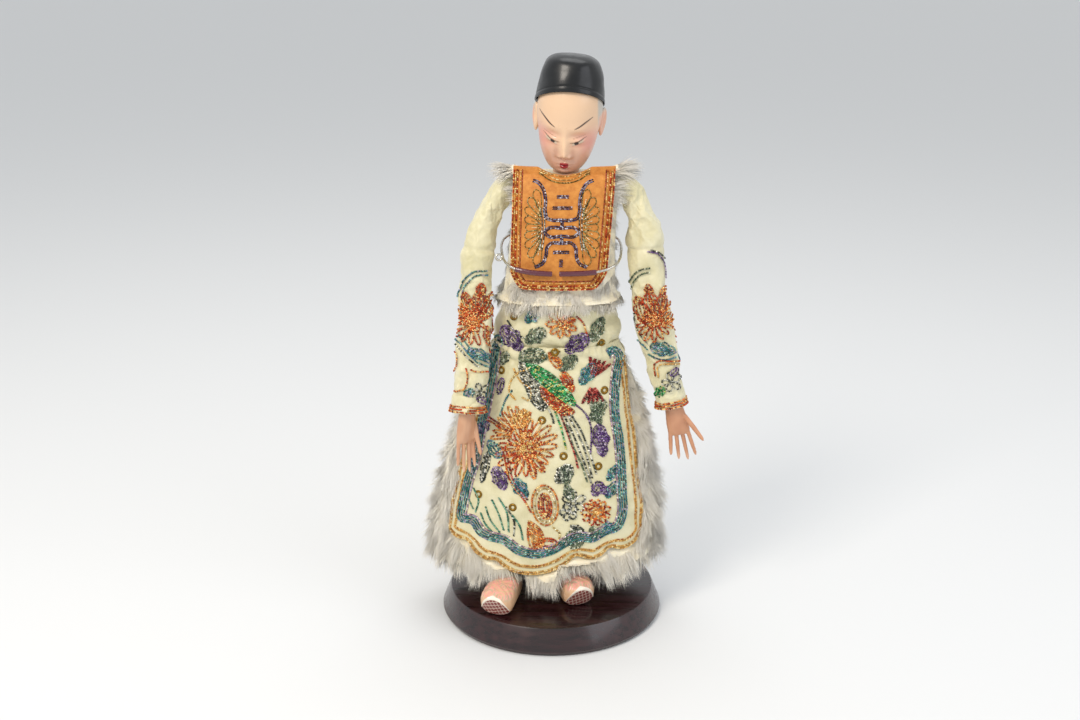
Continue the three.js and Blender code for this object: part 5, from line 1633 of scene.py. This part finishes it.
def panel_outline(hem):
    """The panel's two side edges and its hem, laid flat."""
    sides = np.linspace(127, 36, 60)
    edge = np.interp(sides, SIDE_EDGE[:, 0], SIDE_EDGE[:, 1])
    sweep = np.linspace(-PANEL_HALF_ANGLE, PANEL_HALF_ANGLE, 160)
    left = np.stack([-bell_arc(edge, sides), sides], axis=-1)
    foot = np.stack([bell_arc(sweep, hem(sweep)), hem(sweep)], axis=-1)
    return np.vstack([left, foot, left[::-1] * [-1, 1]])


def inset(path, distance, softness):
    """Moves a flat outline inwards, then evens it out."""
    path = spline(path, 500)
    ahead = unit(np.gradient(path, axis=0))
    moved = path + np.stack([-ahead[:, 1], ahead[:, 0]], axis=-1) * distance
    reach = int(3 * softness)
    weights = np.exp(-0.5 * (np.arange(-reach, reach + 1) / softness) ** 2)
    weights /= weights.sum()
    padded = np.pad(moved, ((reach, reach), (0, 0)), mode="edge")
    return np.stack([np.convolve(column, weights, mode="valid") for column in padded.T], axis=-1)


def bell_path(flat, facing):
    """Lays a flat path, measured from the panel's middle line, on the bell."""
    grid = np.linspace(-95, 95, 77)
    degrees = np.array([np.interp(x, bell_arc(grid, np.full(77, z)), grid) for x, z in flat])
    angle = np.radians(degrees) if facing > 0 else math.pi - np.radians(degrees)
    return bell_point(angle, flat[:, 1])


EDGE_CORDS = [  # distance from the edge, palette, width, slant
    (0.6, "gold", 1.15, 52), (1.6, "gold", 1.15, -52), (4.2, "gold", 1.0, 52), (5.0, "amber", 0.8, -52),
]
BACK_BORDER = [
    (9.4, "teal", THREAD, 34), (10.4, "teal", THREAD, 34), (11.4, "teal", THREAD, 34),
    (12.4, "pink_silver", THREAD, 34),
]
for batch, hem, facing, tree in (
    ("cord_front", front_hem, 1, trees["front"]), ("cord_back", back_hem, -1, trees["back"]),
):
    outline = panel_outline(hem)
    for distance, palette, width, slant in EDGE_CORDS + (BACK_BORDER if facing < 0 else []):
        path = bell_path(inset(outline, distance, 1.5 + 0.6 * distance), facing)
        spots, normals = lay_on(path, tree, 0.45)
        add_cord(batch, spots, normals, palette, width, slant, 0.14)
print("edge cords laid")

# %% The chest panel's cords and fret
CHEST_LIFT = 0.6


def chest_outline(facing):
    sides = np.linspace(chest_high(facing) - 1, CHEST_LOW + CHEST_CORNER, 50)
    left = np.stack([-chest_half(sides), sides], axis=-1)
    across = np.linspace(-1, 1, 80)
    foot = np.stack([across * CHEST_HALF, chest_low(across)], axis=-1)
    return np.vstack([left, foot[1:-1], left[::-1] * [-1, 1]])


def chest_path(flat, facing):
    return chest_point(flat[:, 0] / chest_half(flat[:, 1]), flat[:, 1], CHEST_OUTER, facing)


CHEST_CORDS = [
    (0.3, "red_gold", 1.0, 42), (1.2, "amber", 1.0, -42), (2.1, "red_gold", 1.0, 42),
    (3.5, "amber", 0.8, 35),
    (4.3, "dark_red", 0.55, 35),
]
for batch, facing, tree in (("cord_chest", 1, trees["chest"]), ("cord_chest_back", -1, trees["chest_back"])):
    for distance, palette, width, slant in CHEST_CORDS:
        path = chest_path(inset(chest_outline(facing), distance, 5), facing)
        spots, normals = lay_on(path, tree, CHEST_LIFT)
        add_cord(batch, spots, normals, palette, width, slant, 0.2)
    around_neck = np.linspace(-0.5, 0.5, 60)
    neckline = chest_high(facing) - neck_dip(around_neck, facing)
    for drop, palette in ((0.6, "gold"), (1.7, "gold"), (2.8, "dark_gold")):
        path = chest_point(around_neck, neckline - drop, CHEST_OUTER, facing)
        spots, normals = lay_on(path, tree, CHEST_LIFT)
        add_cord(batch, spots, normals, palette, 0.8, 35 if palette == "gold" else -35)

# A plain fret: two horns joined by a bar, two short bars between them, a long six-sided link below, and an
# arch with a bar inside it, whose feet curl out.
FRET_MIDDLE, FRET_LEAN = 562, -0.03
FRET = [
    [(-30, 181), (-25, 183), (-20, 189), (-17, 200), (-17, 211), (-15, 218), (-9, 220), (0, 220)],
    [(0, 197), (-6, 197)], [(0, 208), (-10, 208)], [(0, 221), (0, 227)],
    [(0, 228), (-13, 228), (-17, 232), (-13, 236), (0, 236)], [(0, 237), (0, 243)],
    [(0, 243), (-10, 243), (-14, 247), (-15, 255), (-18, 263), (-26, 267)], [(0, 252), (-8, 252)],
    [(0, 259), (0, 267)],
]
for stroke_points in FRET:
    for mirror in (1, -1):
        if mirror < 0 and all(x == 0 for x, _ in stroke_points):
            continue
        line = [(FRET_MIDDLE + x * mirror + (y - 225) * FRET_LEAN, y) for x, y in stroke_points]
        for offset in (-0.95, 0.95):
            row = beside(line, offset)
            embroider("chest", row, "indigo", [trees["chest"]], 0.85, 38 * mirror, CHEST_LIFT)
PETAL_FANS = [(541, 1), (583, -1)]  # the root's x, and the way along x that is inwards
for fan_x, way in PETAL_FANS:
    for k in range(9):
        angle = math.radians(-78 + 19.5 * k)
        ahead = np.array([-way * math.cos(angle), math.sin(angle)])
        reach = 15 + 9 * abs(math.sin(angle)) ** 1.5
        root = np.array([fan_x, 213 + 3.6 * k])
        side = np.array([-ahead[1], ahead[0]])
        petal = [(0, 0), (0.5, 3.2), (0.9, 3), (1, 0), (0.9, -3), (0.5, -3.2), (0, 0)]
        loop = [root + ahead * reach * out + side * aside for out, aside in petal]
        vein = [root, root + ahead * reach * 0.6]
        embroider("chest", loop, "olive" if k % 2 else "dark_gold", [trees["chest"]], 0.55, 30, CHEST_LIFT)
        embroider("chest", vein, "pale_gold", [trees["chest"]], 0.5, 30, CHEST_LIFT)
    spine = [(fan_x + way, 208), (fan_x + way * 2.5, 220), (fan_x + way * 2, 236), (fan_x, 250)]
    for offset in (-1.2, 1.2):
        embroider("chest", beside(spine, offset), "silver", [trees["chest"]], 0.75, 35, CHEST_LIFT)
print("chest drawn")

# %% Sleeves' drawing and cuffs
SLEEVE_DRAWING = {
    "right": [
        ("line", "teal", (487, 271), (474, 272), (464, 281), (458, 296), (455, 312)),
        ("line", "teal", (487, 275), (476, 276), (467, 284), (461, 298)),
        ("line", "teal", (452, 300), (450, 318), (452, 334)),
        ("leaf", "red_gold", (476, 318), (482, 283), 13), ("leaf", "red_gold", (470, 322), (465, 292), 12),
        ("leaf", "red_gold", (484, 320), (493, 292), 11), ("leaf", "orange", (478, 330), (458, 306), 13),
        ("bloom", "red_gold", (473, 325), 3, 21, 8, 0.5, 60, 200),
        ("bloom", "red_gold", (474, 322), 1, 11, 8, 0.55),
        ("bloom", "orange", (474, 322), 0.3, 6, 6, 0.6), ("leaf", "red_gold", (486, 326), (489, 346), 8),
        ("line", "teal", (453, 332), (462, 338), (470, 348), (480, 358), (490, 364)),
        ("line", "teal", (453, 337), (461, 344), (469, 354), (479, 363), (490, 368)),
        ("line", "silver", (453, 341), (460, 349), (468, 358), (478, 367)),
        ("leaf", "teal", (468, 350), (490, 358), 9),
        ("line", "red_gold", (451, 346), (457, 354), (457, 366), (452, 376)),
        ("line", "red_gold", (466, 368), (468, 380), (463, 390), (455, 391), (450, 386)),
        ("line", "red_gold", (470, 370), (480, 372), (489, 372)),
        ("line", "orange", (450, 352), (453, 362), (450, 372)),
        ("leaf", "teal", (473, 389), (464, 399), 8), ("bloom", "silver", (480, 392), 1, 9, 5, 0.5),
        ("leaf", "purple", (478, 398), (488, 404), 6),
    ],
    "left": [
        ("line", "purple", (647, 252), (657, 254), (663, 262), (665, 278)),
        ("line", "silver", (650, 250), (660, 254), (667, 264), (669, 280)),
        ("line", "grey_green", (650, 268), (640, 270), (631, 279), (628, 294), (629, 312)),
        ("line", "grey_green", (650, 272), (642, 274), (634, 282), (631, 296)),
        ("leaf", "red_gold", (652, 316), (648, 284), 12), ("leaf", "red_gold", (660, 318), (665, 286), 12),
        ("leaf", "red_gold", (644, 322), (637, 296), 11), ("leaf", "orange", (660, 326), (675, 306), 11),
        ("bloom", "red_gold", (655, 322), 3, 19, 8, 0.5, -20, 200),
        ("bloom", "red_gold", (654, 320), 1, 11, 8, 0.55),
        ("bloom", "orange", (654, 320), 0.3, 6, 6, 0.6),
        ("line", "silver", (634, 312), (638, 330), (648, 344)),
        ("line", "teal", (630, 318), (636, 336), (648, 350)), ("leaf", "teal", (650, 346), (675, 352), 12),
        ("line", "teal", (648, 354), (662, 360), (676, 357)),
        ("line", "red_gold", (679, 361), (655, 364), (656, 376)),
        ("line", "gold", (679, 364), (658, 367), (659, 378)),
        ("leaf", "green", (664, 388), (656, 396), 8), ("bloom", "silver", (671, 382), 1, 10, 5, 0.5),
        ("leaf", "purple", (671, 376), (677, 368), 6),
    ],
}


def turned_over(row):
    """A path mirrored in the photograph's middle, to draw the same motif on the far side."""
    return row * [-1, 1] + [PHOTO_SIZE[0], 0]


CUFF_CORDS = [(0.108, "red_gold", -42), (0.117, "red_gold", 42), (0.126, "orange", -42)]
for side, drawing in SLEEVE_DRAWING.items():
    batch, tree = f"sleeve_{side}", trees[side]
    for kind, palette, *shape in drawing:
        for row in SHAPES[kind](*shape):
            embroider(batch, row, palette, [tree], 0.92)
            if kind != "line":
                embroider(batch, turned_over(row), palette, [tree], 0.92, turned=BEHIND)
    angles = np.linspace(0, 2 * math.pi, 80)
    shape_of_sleeve = sleeve_shape(SLEEVES[side], SLEEVE_SEEDS[side])
    for share, palette, slant in CUFF_CORDS:
        spots, normals = lay_on(shape_of_sleeve(angles, np.full(80, share)), tree, 0.1)
        add_cord(batch, spots, normals, palette, 1.15, slant)
print("sleeves drawn")

# %% Sew everything down
SEWN = [  # cloth, batch, piece, replaced nodes
    ("front", "robe_front", "couching_robe_front", []),
    ("front", "cord_front", "edge_cord_front", ["skirt_braid"]),
    ("back", "robe_back", "couching_robe_back", []), ("back", "cord_back", "edge_cord_back", []),
    ("chest", "chest", "couching_chest", []), ("chest", "cord_chest", "edge_cord_chest", ["chest_braid"]),
    ("chest_back", "cord_chest_back", "edge_cord_chest_back", []),
    ("right", "sleeve_right", "couching_sleeve_right", []),
    ("left", "sleeve_left", "couching_sleeve_left", []),
]
sewn = {}
for cloth, batch, name, replaced in SEWN:
    sewn.setdefault(cloth, []).append(sew_batch(batch, name, replaces=replaced))

# %% [markdown]
# Sequins are stamped gilt rings, 4.2 mm across and slightly dished.

# %% Sequins
def build_sequin(bm):
    section = [(0.8, 0.1), (1.35, 0.5), (2.1, 0.2), (2.1, 0.02), (1.35, 0.25), (0.8, 0.0)]
    turn_profile(bm, section, 18, 1e-5, closed=True)


SEQUIN = small_shape(build_sequin)
SEQUIN_LIFT = 0.5
for where, cloth, turned in (("front", robe_front, IN_FRONT), ("back", robe_back, BEHIND)):
    spots, normals = [], []
    for px, py in SEQUINS:
        spot, normal = first_hit(px, py, cloth, turned)
        spots.append(spot + normal * SEQUIN_LIFT)
        normals.append(normal)
    spots, normals = np.array(spots), np.array(normals)
    side = unit(np.cross(normals, [0.3, 0.2, 1.0]))
    sequin_mesh = stamp(f"sequins_{where}", SEQUIN, spots, side, np.cross(normals, side), normals)
    sewn[where].append(piece(f"sequins_{where}", sequin_mesh, sequin_metal))

# %% [markdown]
# ## Light
# The backdrop is plain grey paper in soft, even light, with faint shadows under the skirt and behind the
# disc.

# %% Light and floor
floor_mesh = flat_grid("floor", 1, 1, size=16)
floor = bpy.data.objects.new("floor", floor_mesh)
bpy.context.scene.collection.objects.link(floor)
floor_paper, _ = new_material("backdrop_paper", Base_Color=linear("#e0e1e1"), Roughness=0.9)
floor_mesh.materials.append(floor_paper)

world = bpy.data.worlds.new("studio")
bpy.context.scene.world = world
world.use_nodes = True
world.node_tree.nodes["Background"].inputs["Color"].default_value = linear("#dfe1e3")
world.node_tree.nodes["Background"].inputs["Strength"].default_value = 0.98


def softbox(name, place, aim, size, power, colour="#ffffff"):
    """An area light at a place in metres, turned towards a point."""
    data = bpy.data.lights.new(name, "AREA")
    data.shape = "RECTANGLE"
    data.size, data.size_y = size
    data.energy = power
    data.color = linear(colour)[:3]
    lamp = bpy.data.objects.new(name, data)
    lamp.location = place
    lamp.rotation_euler = (Vector(aim) - Vector(place)).to_track_quat("-Z", "Y").to_euler()
    bpy.context.scene.collection.objects.link(lamp)


CHEST = (0, 0, 0.15)
softbox("key", (-0.55, -0.7, 0.95), CHEST, (0.42, 0.42), 8, "#fff6ea")
softbox("fill", (0.8, -0.5, 0.6), CHEST, (0.7, 0.7), 2.2, "#f6f8ff")
softbox("top", (0.05, 0.25, 1.1), CHEST, (0.7, 0.5), 2.5)
print("lights ready")

# %% Close the frame
bpy.context.view_layer.update()
